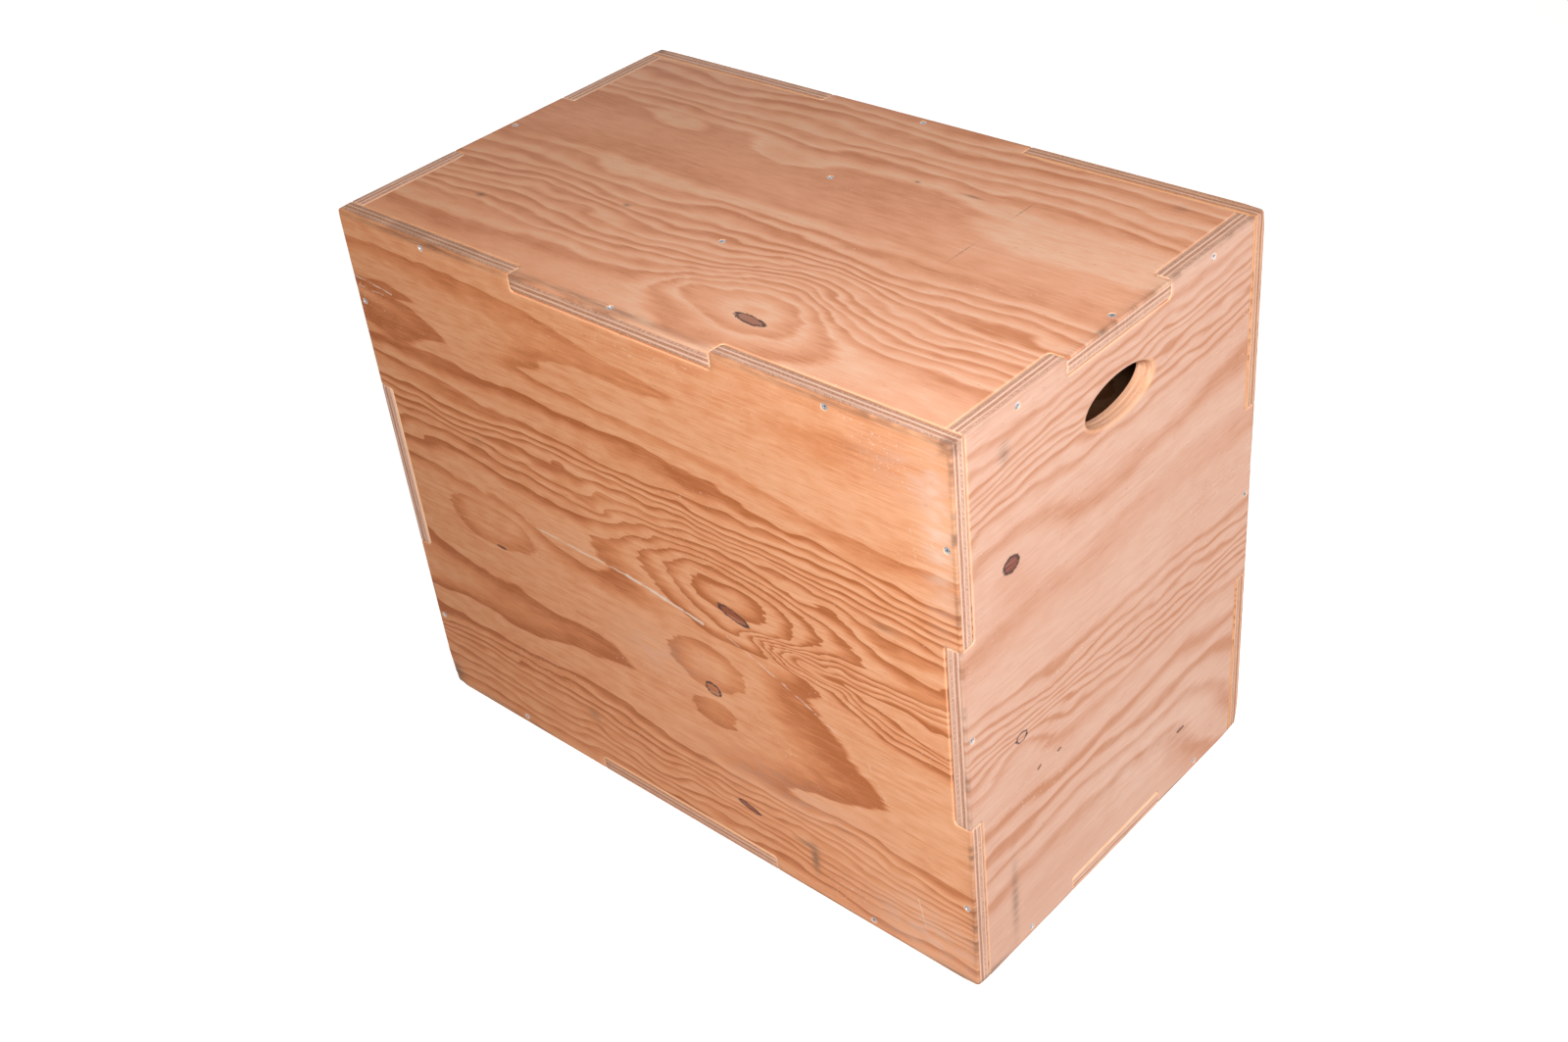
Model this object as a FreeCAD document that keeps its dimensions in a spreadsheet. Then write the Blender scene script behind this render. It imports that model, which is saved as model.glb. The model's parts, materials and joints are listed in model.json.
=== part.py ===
import FreeCAD, Part
import os
from collections import namedtuple
import Sketcher

# Plywood plyo box: six finger-jointed boards round a centre brace, held by countersunk screws

# Driving dimensions, in millimetres
SIZES = {
    "box_length": 762,
    "box_depth": 457,
    "box_height": 610,
    "ply": 18,
    "long_tab": 254,
    "short_tab": 152.4,
    "upright_tab": 203.4,
    "joint_clearance": 0.2,
    "rout_radius": 4,
    "arris_chamfer": 1.5,
    "grip_width": 100,
    "grip_height": 44,
    "grip_end": 13,
    "grip_drop": 75,
    "grip_edge": 3,
    "brace_ply": 18,
    "brace_clearance": 0.3,
    "brace_screw_pitch": 152.4,
    "screw_length": 40,
    "head_diameter": 7,
    "head_depth": 1.8,
    "head_recess": 0.3,
    "shank_diameter": 3.5,
    "tip_length": 5,
    "tip_diameter": 0.8,
    "screw_clearance": 0.1,
    "pilot_run": 1,
}

# The screws and their holes are drawn with this many flats
SCREW_SIDES = 6

doc = FreeCAD.newDocument("PlyoBox")
sheet = doc.addObject("Spreadsheet::Sheet", "Sizes")
for row, (alias, size) in enumerate(SIZES.items(), start=1):
    sheet.set(f"A{row}", alias)
    sheet.set(f"B{row}", str(size))
    sheet.setAlias(f"B{row}", alias)
doc.recompute()

# Expressions on the sheet that several pieces share
PLY = "Sizes.ply"
MID_PLY = "Sizes.ply / 2"
HALF_LENGTH = "Sizes.box_length / 2"
HALF_DEPTH = "Sizes.box_depth / 2"
HALF_HEIGHT = "Sizes.box_height / 2"
INNER_LENGTH = "(Sizes.box_length / 2 - Sizes.ply)"
INNER_DEPTH = "(Sizes.box_depth / 2 - Sizes.ply)"
INNER_HEIGHT = "(Sizes.box_height / 2 - Sizes.ply)"
ROUT = "Sizes.rout_radius"
BRACE_SCREW = "Sizes.brace_screw_pitch / 2"

# A finger joint: half the notch's width, and how far from the middle the shoulders are screwed
Joint = namedtuple("Joint", "half screw")
LONG = Joint("Sizes.long_tab / 2", "(Sizes.box_length + Sizes.long_tab) / 4")
SHORT = Joint("Sizes.short_tab / 2", "(Sizes.box_depth / 2 - Sizes.ply + Sizes.short_tab / 2) / 2")
UPRIGHT = Joint("Sizes.upright_tab / 2", "(Sizes.box_height + Sizes.upright_tab) / 4")

# An edge of a board: its joint, whether it has the tab or the notch, its own line and the finger's far line
Edge = namedtuple("Edge", "joint tab line reach")


def value(expression):
    """Number that an expression on the sheet stands for."""
    return float(sheet.evalExpression(expression))


def negative(expression):
    """The same distance on the other side of the middle."""
    return f"-({expression})"


def both_ways(expression):
    """A distance to either side of the middle."""
    return [expression, negative(expression)]


def bind(thing, **expressions):
    """Tie properties of an object to the sheet; a double underscore stands for a dot."""
    for name, expression in expressions.items():
        thing.setExpression(name.replace("__", "."), expression)


def plane(body, role):
    """One of the body's own origin planes."""
    return next(item for item in body.Origin.OriginFeatures if item.Role == role)


def sketch_on(body, name, role, offset="0"):
    """Empty sketch on an origin plane of the body, moved along the plane's normal by offset."""
    sketch = body.newObject("Sketcher::SketchObject", name)
    sketch.AttachmentSupport = [(plane(body, role), "")]
    sketch.MapMode = "FlatFace"
    bind(sketch, AttachmentOffset__Base__z=offset)
    return sketch


def constrain(sketch, *constraint):
    """Add a constraint that has no size."""
    sketch.addConstraint(Sketcher.Constraint(*constraint))


def dimension(sketch, expression, *constraint):
    """Add a dimension and tie it to the sheet."""
    index = sketch.addConstraint(Sketcher.Constraint(*constraint, value(expression)))
    sketch.setExpression(f"Constraints[{index}]", expression)


def hold(sketch, geometry, end, across, along):
    """Hold a point of the sketch at signed distances from its origin."""
    for kind, axis, expression in (("DistanceX", -2, across), ("DistanceY", -1, along)):
        if value(expression) == 0:
            constrain(sketch, "PointOnObject", geometry, end, axis)
        else:
            dimension(sketch, expression, kind, -1, 1, geometry, end)


def point(across, along):
    """Sketch point at two expressions."""
    return FreeCAD.Vector(value(across), value(along), 0)


def polygon(sketch, corners):
    """Closed outline of straight lines through corners given as pairs of expressions."""
    lines = []
    for index, corner in enumerate(corners):
        segment = Part.LineSegment(point(*corners[index - 1]), point(*corner))
        lines.append(sketch.addGeometry(segment))
    for index, corner in enumerate(corners):
        following = lines[(index + 1) % len(lines)]
        constrain(sketch, "Coincident", lines[index], 2, following, 1)
        hold(sketch, lines[index], 2, *corner)


def rectangle(sketch, across, along):
    """Rectangle about the middle, given its half sizes."""
    left, right = negative(across), across
    low, high = negative(along), along
    polygon(sketch, [(left, low), (right, low), (right, high), (left, high)])


def corner_waste(sketch, corner, side, radius):
    """Waste between a square corner on the inner face and its rounding, to the side given by a sign."""
    reach = value(radius)
    square = FreeCAD.Vector(value(corner), 0, 0)
    foot = square + FreeCAD.Vector(side * reach, 0, 0)
    head = square + FreeCAD.Vector(0, reach, 0)
    centre = foot + FreeCAD.Vector(0, reach, 0)
    halfway = centre + (square - centre).normalize() * reach
    level = sketch.addGeometry(Part.LineSegment(square, foot))
    upright = sketch.addGeometry(Part.LineSegment(head, square))
    arc = sketch.addGeometry(Part.Arc(foot, halfway, head))
    foot_end, head_end = (2, 1) if side > 0 else (1, 2)
    hold(sketch, level, 1, corner, "0")
    constrain(sketch, "Coincident", upright, 2, level, 1)
    constrain(sketch, "Horizontal", level)
    constrain(sketch, "Vertical", upright)
    constrain(sketch, "Tangent", level, 2, arc, foot_end)
    constrain(sketch, "Tangent", upright, 1, arc, head_end)
    dimension(sketch, radius, "Radius", arc)


def pad(body, name, sketch, length):
    """Solid of a given height over a sketch."""
    feature = body.newObject("PartDesign::Pad", name)
    feature.Profile = sketch
    bind(feature, Length=length)
    doc.recompute()
    return feature


def pocket(body, name, sketch):
    """Pocket as deep as the ply, which has to take something away."""
    before = body.Shape.Volume
    feature = body.newObject("PartDesign::Pocket", name)
    feature.Profile = sketch
    bind(feature, Length=PLY)
    doc.recompute()
    if not body.Shape.Volume < before:
        raise RuntimeError(f"{name} cut nothing")
    return feature


def fillet(body, name, base, edges, radius):
    """Round some edges of a body's last feature."""
    feature = body.newObject("PartDesign::Fillet", name)
    feature.Base = (base, edges)
    bind(feature, Radius=radius)
    doc.recompute()


def finger_half(edge):
    """Half the width of an edge's finger; a tab is narrower than its notch by the clearance."""
    return f"({edge.joint.half} - Sizes.joint_clearance)" if edge.tab else edge.joint.half


def outer_line(edge):
    """Line of the box's outside along an edge."""
    return edge.reach if edge.tab else edge.line


def seat_line(edge):
    """Line along an edge against which the next board bears."""
    return edge.line if edge.tab else edge.reach


def board(name, level, upright):
    """Flat board on its inner face, with a finger in the middle of each edge."""
    body = doc.addObject("PartDesign::Body", name)
    across = finger_half(level)
    along = finger_half(upright)
    lower = [
        (negative(upright.line), negative(level.line)),
        (negative(across), negative(level.line)),
        (negative(across), negative(level.reach)),
        (across, negative(level.reach)),
        (across, negative(level.line)),
        (upright.line, negative(level.line)),
        (upright.line, negative(along)),
        (upright.reach, negative(along)),
        (upright.reach, along),
        (upright.line, along),
    ]
    upper = [(negative(u), negative(v)) for u, v in lower]
    sketch = sketch_on(body, name + "_outline", "XY_Plane")
    polygon(sketch, lower + upper)
    blank = pad(body, name + "_blank", sketch, PLY)
    corners = [point(u, v) for u in both_ways(across) for v in both_ways(seat_line(level))]
    corners += [point(u, v) for u in both_ways(seat_line(upright)) for v in both_ways(along)]
    fillet(body, name + "_routed", blank, edges_through(blank.Shape, corners), ROUT)
    return body


def edges_through(shape, places):
    """Names of the edges that stand across a board at any of the places given."""
    names = []
    for number, edge in enumerate(shape.Edges, start=1):
        first, last = (vertex.Point for vertex in edge.Vertexes)
        middle = FreeCAD.Vector(first.x, first.y, 0)
        stands = abs(first.z - last.z) > 1e-6
        if stands and any(middle.isEqual(place, 1e-3) for place in places):
            names.append(f"Edge{number}")
    return names


def ease_fingers(body, name, edge, role):
    """Round the arrises that lie in the next board's routed corners, on both of two opposite edges."""
    half = f"({edge.joint.half} - Sizes.joint_clearance)"
    radius = ROUT if edge.tab else "(Sizes.rout_radius + Sizes.joint_clearance)"
    side = -1 if edge.tab else 1
    sketch = sketch_on(body, name + "_waste", role, outer_line(edge))
    corner_waste(sketch, half, side, radius)
    corner_waste(sketch, negative(half), -side, radius)
    near = pocket(body, name, sketch)
    far = body.newObject("PartDesign::Mirrored", name + "_far")
    far.Originals = [near]
    far.MirrorPlane = (plane(body, role), [""])
    body.Tip = far
    doc.recompute()


def cut_grip(body, name):
    """Oval hand-hole of four arcs through an end board, its outer rim rounded over."""
    half_width, half_height = "Sizes.grip_width / 2", "Sizes.grip_height / 2"
    end_centre = "(Sizes.grip_width / 2 - Sizes.grip_end)"
    middle_line = f"({HALF_HEIGHT} - Sizes.grip_drop)"
    side_radius = (
        f"(({half_width}) ^ 2 + ({half_height}) ^ 2 - Sizes.grip_width * Sizes.grip_end)"
        f" / (Sizes.grip_height - 2 * Sizes.grip_end)"
    )
    end = value("Sizes.grip_end")
    bulge = value(side_radius)
    middle = point("0", middle_line)
    right = point(end_centre, middle_line)
    crown = middle + FreeCAD.Vector(0, value(half_height), 0)
    below = crown - FreeCAD.Vector(0, bulge, 0)
    join = right + (right - below).normalize() * end
    wide = FreeCAD.Vector(end, 0, 0)

    def across(spot):
        return FreeCAD.Vector(-spot.x, spot.y, 0)

    def under(spot):
        return FreeCAD.Vector(spot.x, 2 * middle.y - spot.y, 0)

    sketch = sketch_on(body, name + "_oval", "XY_Plane", PLY)
    arcs = [
        sketch.addGeometry(Part.Arc(under(join), right + wide, join)),
        sketch.addGeometry(Part.Arc(join, crown, across(join))),
        sketch.addGeometry(Part.Arc(across(join), across(right + wide), across(under(join)))),
        sketch.addGeometry(Part.Arc(across(under(join)), under(crown), under(join))),
    ]
    hold(sketch, arcs[0], 3, end_centre, middle_line)
    hold(sketch, arcs[2], 3, negative(end_centre), middle_line)
    for index, radius in enumerate(["Sizes.grip_end", side_radius] * 2):
        constrain(sketch, "Tangent", arcs[index - 1], 2, arcs[index], 1)
        dimension(sketch, radius, "Radius", arcs[index])
    opening = pocket(body, name, sketch)
    rim = []
    for number, edge in enumerate(opening.Shape.Edges, start=1):
        spot = edge.CenterOfMass - middle
        within = abs(spot.x) < value(half_width) and abs(spot.y) < value(half_height)
        if within and edge.BoundBox.ZMin > value(PLY) - 1e-6:
            rim.append(f"Edge{number}")
    fillet(body, name + "_rim", opening, rim, "Sizes.grip_edge")


def eased_block():
    """The whole box's outside with every arris taken off, which the boards are trimmed to."""
    body = doc.addObject("PartDesign::Body", "eased_block")
    sketch = sketch_on(body, "eased_block_plan", "XY_Plane")
    rectangle(sketch, HALF_LENGTH, HALF_DEPTH)
    block = pad(body, "eased_block_height", sketch, "Sizes.box_height")
    eased = body.newObject("PartDesign::Chamfer", "eased_block_arrises")
    eased.Base = (block, ["Edge1"])
    eased.UseAllEdges = True
    bind(eased, Size="Sizes.arris_chamfer")
    doc.recompute()
    return body


def turned_bar(name, sections):
    """Straight-sided bar through level sections, each given by its height and radius."""
    body = doc.addObject("PartDesign::Body", name)
    sketches = []
    for number, (height, radius) in enumerate(sections, start=1):
        sketch = sketch_on(body, f"{name}_section_{number}", "XY_Plane", height)
        turns = [360 * (side + 0.5) / SCREW_SIDES for side in range(SCREW_SIDES)]
        polygon(sketch, [(f"({radius}) * cos({turn})", f"({radius}) * sin({turn})") for turn in turns])
        sketches.append(sketch)
    loft = body.newObject("PartDesign::AdditiveLoft", name + "_loft")
    loft.Profile = sketches[0]
    loft.Sections = sketches[1:]
    loft.Ruled = True
    doc.recompute()
    return body


def wood_screw():
    """Countersunk wood screw, its head's face on the origin and its tip below."""
    head, shank = "Sizes.head_diameter / 2", "Sizes.shank_diameter / 2"
    return turned_bar("wood_screw", [
        ("0", head),
        ("-Sizes.head_depth", shank),
        ("-(Sizes.screw_length - Sizes.tip_length)", shank),
        ("-Sizes.screw_length", "Sizes.tip_diameter / 2"),
    ])


def drilling():
    """Room for one screw: a countersink that opens in the board's face, a bore and a pilot hole."""
    flare = "(Sizes.head_diameter - Sizes.shank_diameter) / 2 / Sizes.head_depth"
    mouth = f"Sizes.head_diameter / 2 + Sizes.screw_clearance + Sizes.head_recess * {flare}"
    bore = "Sizes.shank_diameter / 2 + Sizes.screw_clearance"
    return turned_bar("drilling", [
        ("Sizes.head_recess", mouth),
        ("-Sizes.head_depth", bore),
        ("-(Sizes.screw_length + Sizes.pilot_run)", bore),
    ])


def stand(thing, yaw, roll, x="0", y="0", z="0"):
    """Turn a piece about X then Z, and hold its origin at bound distances."""
    thing.Placement = FreeCAD.Placement(FreeCAD.Vector(), FreeCAD.Rotation(yaw, 0, roll))
    bind(thing, Placement__Base__x=x, Placement__Base__y=y, Placement__Base__z=z)
    doc.recompute()


def screw_places(level, upright):
    """Where a board's own screws pass through it: tabs at their middle, notched edges at both shoulders."""
    level_line = f"({outer_line(level)} - {MID_PLY})"
    upright_line = f"({outer_line(upright)} - {MID_PLY})"
    level_places = ["0"] if level.tab else both_ways(level.joint.screw)
    upright_places = ["0"] if upright.tab else both_ways(upright.joint.screw)
    places = [(u, v) for v in both_ways(level_line) for u in level_places]
    places += [(u, v) for u in both_ways(upright_line) for v in upright_places]
    return places


def repeat(name, original, places, placing):
    """Copies of a piece at the places of one board, heads just under its outer face."""
    copies = []
    for number, (across, along) in enumerate(places, start=1):
        copy = doc.addObject("App::Link", f"{name}_{number}")
        copy.LinkedObject = original
        bind(copy, Placement__Base__x=across, Placement__Base__y=along)
        bind(copy, Placement__Base__z="Sizes.ply - Sizes.head_recess")
        copies.append(copy)
    group = doc.addObject("Part::Compound", name)
    group.Links = copies
    stand(group, **placing)
    return group


def finish(name, body):
    """The piece as it leaves the bench: trimmed to the eased block and drilled with its neighbours."""
    trimmed = doc.addObject("Part::Common", name + "_trimmed")
    trimmed.Base = body
    trimmed.Tool = outside
    drilled = doc.addObject("Part::Cut", name)
    drilled.Base = trimmed
    drilled.Tool = drillings


# The front and back are notched all round, the top and bottom have tabs all round, the ends have both
BROAD = dict(
    level=Edge(LONG, False, HALF_HEIGHT, INNER_HEIGHT),
    upright=Edge(UPRIGHT, False, HALF_LENGTH, INNER_LENGTH),
)
LID = dict(
    level=Edge(LONG, True, INNER_DEPTH, HALF_DEPTH),
    upright=Edge(SHORT, True, INNER_LENGTH, HALF_LENGTH),
)
END = dict(
    level=Edge(SHORT, False, HALF_HEIGHT, INNER_HEIGHT),
    upright=Edge(UPRIGHT, True, INNER_DEPTH, HALF_DEPTH),
)

# Each board's edges, and where its inner face stands
BOARDS = {
    "front_panel": (BROAD, dict(yaw=0, roll=90, y=negative(INNER_DEPTH), z=HALF_HEIGHT)),
    "back_panel": (BROAD, dict(yaw=180, roll=90, y=INNER_DEPTH, z=HALF_HEIGHT)),
    "right_end_panel": (END, dict(yaw=90, roll=90, x=INNER_LENGTH, z=HALF_HEIGHT)),
    "left_end_panel": (END, dict(yaw=-90, roll=90, x=negative(INNER_LENGTH), z=HALF_HEIGHT)),
    "top_panel": (LID, dict(yaw=0, roll=0, z="Sizes.box_height - Sizes.ply")),
    "bottom_panel": (LID, dict(yaw=0, roll=180, z=PLY)),
}

outside = eased_block()
screw = wood_screw()
drill = drilling()
brace_screws = [("0", place) for place in both_ways(BRACE_SCREW)]

bodies = {}
bores = []
nodes = []
for label, (edges, placing) in BOARDS.items():
    body = board(label + "_board", **edges)
    ease_fingers(body, label + "_level_ease", edges["level"], "XZ_Plane")
    ease_fingers(body, label + "_upright_ease", edges["upright"], "YZ_Plane")
    if edges is END:
        cut_grip(body, label + "_grip")
    stand(body, **placing)
    bodies[label] = body
    places = screw_places(**edges)
    if edges is LID:
        places += brace_screws
    repeat(label + "_screws", screw, places, placing)
    bores.append(repeat(label + "_bores", drill, places, placing))
    nodes.append(label + "_screws")

# Plain board across the middle of the box, under the brace screws of the top and over those of the bottom
brace = doc.addObject("PartDesign::Body", "centre_brace_board")
brace_outline = sketch_on(brace, "brace_outline", "XY_Plane")
rectangle(brace_outline, f"({INNER_DEPTH} - Sizes.brace_clearance)", INNER_HEIGHT)
pad(brace, "brace_blank", brace_outline, "Sizes.brace_ply")
stand(brace, yaw=90, roll=90, x="-Sizes.brace_ply / 2", z=HALF_HEIGHT)
bodies["centre_brace"] = brace

drillings = doc.addObject("Part::Compound", "drillings")
drillings.Links = bores
for label, body in bodies.items():
    finish(label, body)
    nodes.append(label)
doc.recompute()

for thing in doc.Objects:
    if "Invalid" in thing.State or "Error" in thing.State:
        raise RuntimeError(f"{thing.Label} did not compute: {thing.State}")
for label in nodes:
    shape = doc.getObject(label).Shape
    if shape.isNull() or not shape.isValid() or not shape.Solids:
        raise RuntimeError(f"{label} has no valid shape")

os.makedirs("parts", exist_ok=True)
for label in nodes:
    piece = doc.getObject(label)
    piece.Shape.exportStep(f"parts/{piece.Label}.step")
    box = piece.Shape.BoundBox
    print(f"{piece.Label}: {len(piece.Shape.Solids)} solids, {piece.Shape.Volume:.0f} mm3,",
          f"x {box.XMin:.1f} to {box.XMax:.1f}, y {box.YMin:.1f} to {box.YMax:.1f},",
          f"z {box.ZMin:.1f} to {box.ZMax:.1f}")
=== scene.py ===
# %% [markdown]
# # A plywood plyo box
# The object is a jump box for a gym: six finger-jointed plywood boards round a centre brace, held by
# countersunk screws. The solids of the box are loaded first. They fix every size and place, and the pieces
# made below stand for them, with the worn edges, routed corners and wood figure that the real boards have.

# %% Load the solids
import json
import math
from collections import namedtuple

import bmesh
import bpy
from mathutils import Matrix, Vector, noise

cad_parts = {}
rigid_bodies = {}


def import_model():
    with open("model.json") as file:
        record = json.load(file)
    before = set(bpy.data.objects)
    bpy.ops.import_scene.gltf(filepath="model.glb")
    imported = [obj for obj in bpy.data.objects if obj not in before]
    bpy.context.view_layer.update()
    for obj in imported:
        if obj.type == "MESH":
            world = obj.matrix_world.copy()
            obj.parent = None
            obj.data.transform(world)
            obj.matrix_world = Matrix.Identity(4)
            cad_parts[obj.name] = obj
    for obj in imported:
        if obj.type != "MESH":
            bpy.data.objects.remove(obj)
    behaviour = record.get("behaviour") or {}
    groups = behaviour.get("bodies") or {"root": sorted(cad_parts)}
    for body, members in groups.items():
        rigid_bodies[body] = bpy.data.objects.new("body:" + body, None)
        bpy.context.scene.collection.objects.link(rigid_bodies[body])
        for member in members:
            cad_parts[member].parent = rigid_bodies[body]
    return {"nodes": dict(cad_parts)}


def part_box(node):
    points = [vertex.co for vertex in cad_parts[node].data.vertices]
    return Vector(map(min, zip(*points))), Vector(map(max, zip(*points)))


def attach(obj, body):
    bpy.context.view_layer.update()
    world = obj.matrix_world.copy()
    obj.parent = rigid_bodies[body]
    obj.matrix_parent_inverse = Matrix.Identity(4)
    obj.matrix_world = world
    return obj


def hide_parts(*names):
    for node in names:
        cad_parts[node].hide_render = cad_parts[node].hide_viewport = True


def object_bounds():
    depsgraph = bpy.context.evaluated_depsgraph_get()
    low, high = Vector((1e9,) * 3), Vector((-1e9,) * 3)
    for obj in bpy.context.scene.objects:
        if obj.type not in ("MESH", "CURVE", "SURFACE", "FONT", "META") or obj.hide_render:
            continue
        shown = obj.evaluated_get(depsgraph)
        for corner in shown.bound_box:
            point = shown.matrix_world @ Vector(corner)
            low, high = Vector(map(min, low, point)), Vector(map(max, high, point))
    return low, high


for leftover in list(bpy.data.objects):
    bpy.data.objects.remove(leftover)
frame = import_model()
cad_low, cad_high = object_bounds()
HALF = (cad_high - cad_low) / 2
MIDDLE = (cad_high + cad_low) / 2
MM = 1000
print("box of", [round(MM * side) for side in cad_high - cad_low], "mm with", len(frame["nodes"]), "solids")

# %% [markdown]
# ## Boards on their finger lines
# Each board is 18 mm plywood with one finger in the middle third of each edge: a tab that sticks out, or a
# notch that a neighbour's tab fills. A panel saw cuts such a board along straight lines, and so does this
# cell: a grid has its lines moved to the finger lines, and the waste cells are deleted. The cells down the
# middle are joined, because screws into the brace would sit on their lines. All six boards come from these
# few lines.

# %% Saw a flat blank
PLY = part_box("top_panel")[1].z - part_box("top_panel")[0].z
LONG_TAB, SHORT_TAB, UPRIGHT_TAB = 0.254, 0.1524, 0.2034
JOINT_GAP = 0.0003
SNAP = 1e-5
CELLS = 5
REACH = CELLS / 2


class Blank:
    """Sizes of a board with a finger in the middle of each edge, its level edges first."""

    def __init__(self, half_u, half_v, level_finger, upright_finger, level_tab, upright_tab):
        self.half_u, self.half_v = half_u, half_v
        self.level_tab, self.upright_tab = level_tab, upright_tab
        self.finger_u = level_finger / 2 - JOINT_GAP * level_tab
        self.finger_v = upright_finger / 2 - JOINT_GAP * upright_tab
        self.root_u = half_u - PLY - JOINT_GAP * upright_tab
        self.root_v = half_v - PLY - JOINT_GAP * level_tab

    def is_wood(self, column, row):
        """Whether a cell of the five by five grid belongs to the board."""
        on_side, on_level = column in (0, 4), row in (0, 4)
        if on_side and on_level:
            return not (self.level_tab or self.upright_tab)
        if on_level:
            return (column == 2) == self.level_tab
        if on_side:
            return (row == 2) == self.upright_tab
        return True


BROAD = Blank(HALF.x, HALF.z, LONG_TAB, UPRIGHT_TAB, level_tab=False, upright_tab=False)
LID = Blank(HALF.x, HALF.y, LONG_TAB, SHORT_TAB, level_tab=True, upright_tab=True)
END = Blank(HALF.y, HALF.z, SHORT_TAB, UPRIGHT_TAB, level_tab=False, upright_tab=True)


def saw(blank):
    """Flat board in the XY plane, cut on its finger lines."""
    u_lines = [-blank.half_u, -blank.root_u, -blank.finger_u, blank.finger_u, blank.root_u, blank.half_u]
    v_lines = [-blank.half_v, -blank.root_v, -blank.finger_v, blank.finger_v, blank.root_v, blank.half_v]
    board = bmesh.new()
    bmesh.ops.create_grid(board, x_segments=CELLS, y_segments=CELLS, size=REACH)
    centres = {cell: cell.calc_center_median() for cell in board.faces}
    waste = [cell for cell, spot in centres.items()
             if not blank.is_wood(int(spot.x + REACH), int(spot.y + REACH))]
    middle = [cell for cell, spot in centres.items() if abs(spot.x) < 0.5 and abs(spot.y) < 1.5]
    bmesh.ops.dissolve_faces(board, faces=middle)
    bmesh.ops.delete(board, geom=waste, context="FACES")
    for corner in board.verts:
        corner.co.x = u_lines[round(corner.co.x + REACH)]
        corner.co.y = v_lines[round(corner.co.y + REACH)]
    return board


for title, blank in (("front", BROAD), ("top", LID), ("end", END)):
    flat = saw(blank)
    area = sum(face.calc_area() for face in flat.faces)
    print(title, "blank:", len(flat.faces), "faces,", round(area, 4), "m2")
    flat.free()

# %% [markdown]
# ## Openings in a board
# Each end has an oval hand-hole, and every screw sits in a countersink. A boolean would cut them, but it
# leaves long thin triangles. Here the face is divided until one cell surrounds the opening. The cell is
# taken out, its sides are subdivided, and the ring of edges is extruded inwards and laid on the oval.
# Bridging the ring to a separate circle looks simpler, but two rings in one plane can be joined with a
# twist.

# %% Open an oval in a flat face
GRIP_WIDTH, GRIP_HEIGHT, GRIP_DROP = 0.100, 0.044, 0.075
GRIP_MARGIN, GRIP_SIDES = 0.018, 64


def pull(board, edges):
    """Extrude a ring of edges, and return its new corners and the new ring."""
    pulled = bmesh.ops.extrude_edge_only(board, edges=edges)["geom"]
    corners = [item for item in pulled if isinstance(item, bmesh.types.BMVert)]
    lines = [item for item in pulled if isinstance(item, bmesh.types.BMEdge)]
    return corners, [line for line in lines if all(end in corners for end in line.verts)]


def face_at(board, spot):
    """Face that looks up and whose box holds a place."""
    for face in board.faces:
        if face.normal.z > 0.9 and abs(face.calc_center_bounds().z - spot.z) < SNAP:
            us = [corner.co.x for corner in face.verts]
            vs = [corner.co.y for corner in face.verts]
            if min(us) < spot.x < max(us) and min(vs) < spot.y < max(vs):
                return face
    raise ValueError(f"no face at {spot}")


def open_oval(board, spot, half_u, half_v, margin, sides):
    """Oval opening in a face that looks up; returns the edges of its rim."""
    cell_u, cell_v = half_u + margin, half_v + margin
    for axis, reach in ((0, -cell_u), (0, cell_u), (1, -cell_v), (1, cell_v)):
        face = face_at(board, spot)
        place, across = spot.copy(), Vector()
        place[axis] += reach
        across[axis] = 1
        pieces_of_face = [face, *face.edges, *face.verts]
        bmesh.ops.bisect_plane(board, geom=pieces_of_face, plane_co=place, plane_no=across)
    cell = face_at(board, spot)
    cell_edges = cell.edges[:]
    bmesh.ops.delete(board, geom=[cell], context="FACES_ONLY")
    divided = bmesh.ops.subdivide_edges(board, edges=cell_edges, cuts=sides // 4 - 1)
    ring = [item for item in divided["geom"] if isinstance(item, bmesh.types.BMEdge)]
    corners, rim = pull(board, ring)
    for corner in corners:
        way = Vector(((corner.co.x - spot.x) / cell_u, (corner.co.y - spot.y) / cell_v)).normalized()
        corner.co = spot + Vector((way.x * half_u, way.y * half_v, 0))
    return rim


def cut_grip(board):
    """Hand-hole under the upper edge of an end board's blank."""
    spot = Vector((0, HALF.z - GRIP_DROP, 0))
    open_oval(board, spot, GRIP_WIDTH / 2, GRIP_HEIGHT / 2, GRIP_MARGIN, GRIP_SIDES)


flat = saw(END)
cut_grip(flat)
print("end blank with its hand-hole:", len(flat.faces), "faces,",
      sum(edge.is_boundary for edge in flat.edges), "edges on its outlines")
flat.free()

# %% [markdown]
# ## Thickness and countersinks
# The blank is pushed up by the ply's thickness, which closes the board and makes the wall of the hand-hole.
# A screw's countersink is then a round opening in the outer face, drawn down twice: once to a cone and once
# to a blind bore, with the last ring filled. A Solidify modifier could give the thickness too, but it would
# have to be applied before anything could be cut into it.

# %% Give a blank its thickness and its countersinks
HEAD_RADIUS, HEAD_RECESS = 0.0035, 0.0003
BORE_RADIUS, CONE_DEPTH, BORE_DEPTH = 0.0019, 0.0021, 0.014
SEAT_MARGIN, SEAT_SIDES = 0.0012, 16


def thicken(board):
    """Closed board whose inner face is at height 0 and whose outer face is at the ply's thickness."""
    raised = bmesh.ops.extrude_face_region(board, geom=board.faces[:])
    lifted = [item for item in raised["geom"] if isinstance(item, bmesh.types.BMVert)]
    bmesh.ops.translate(board, vec=(0, 0, PLY), verts=lifted)
    bmesh.ops.recalc_face_normals(board, faces=board.faces[:])


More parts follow.
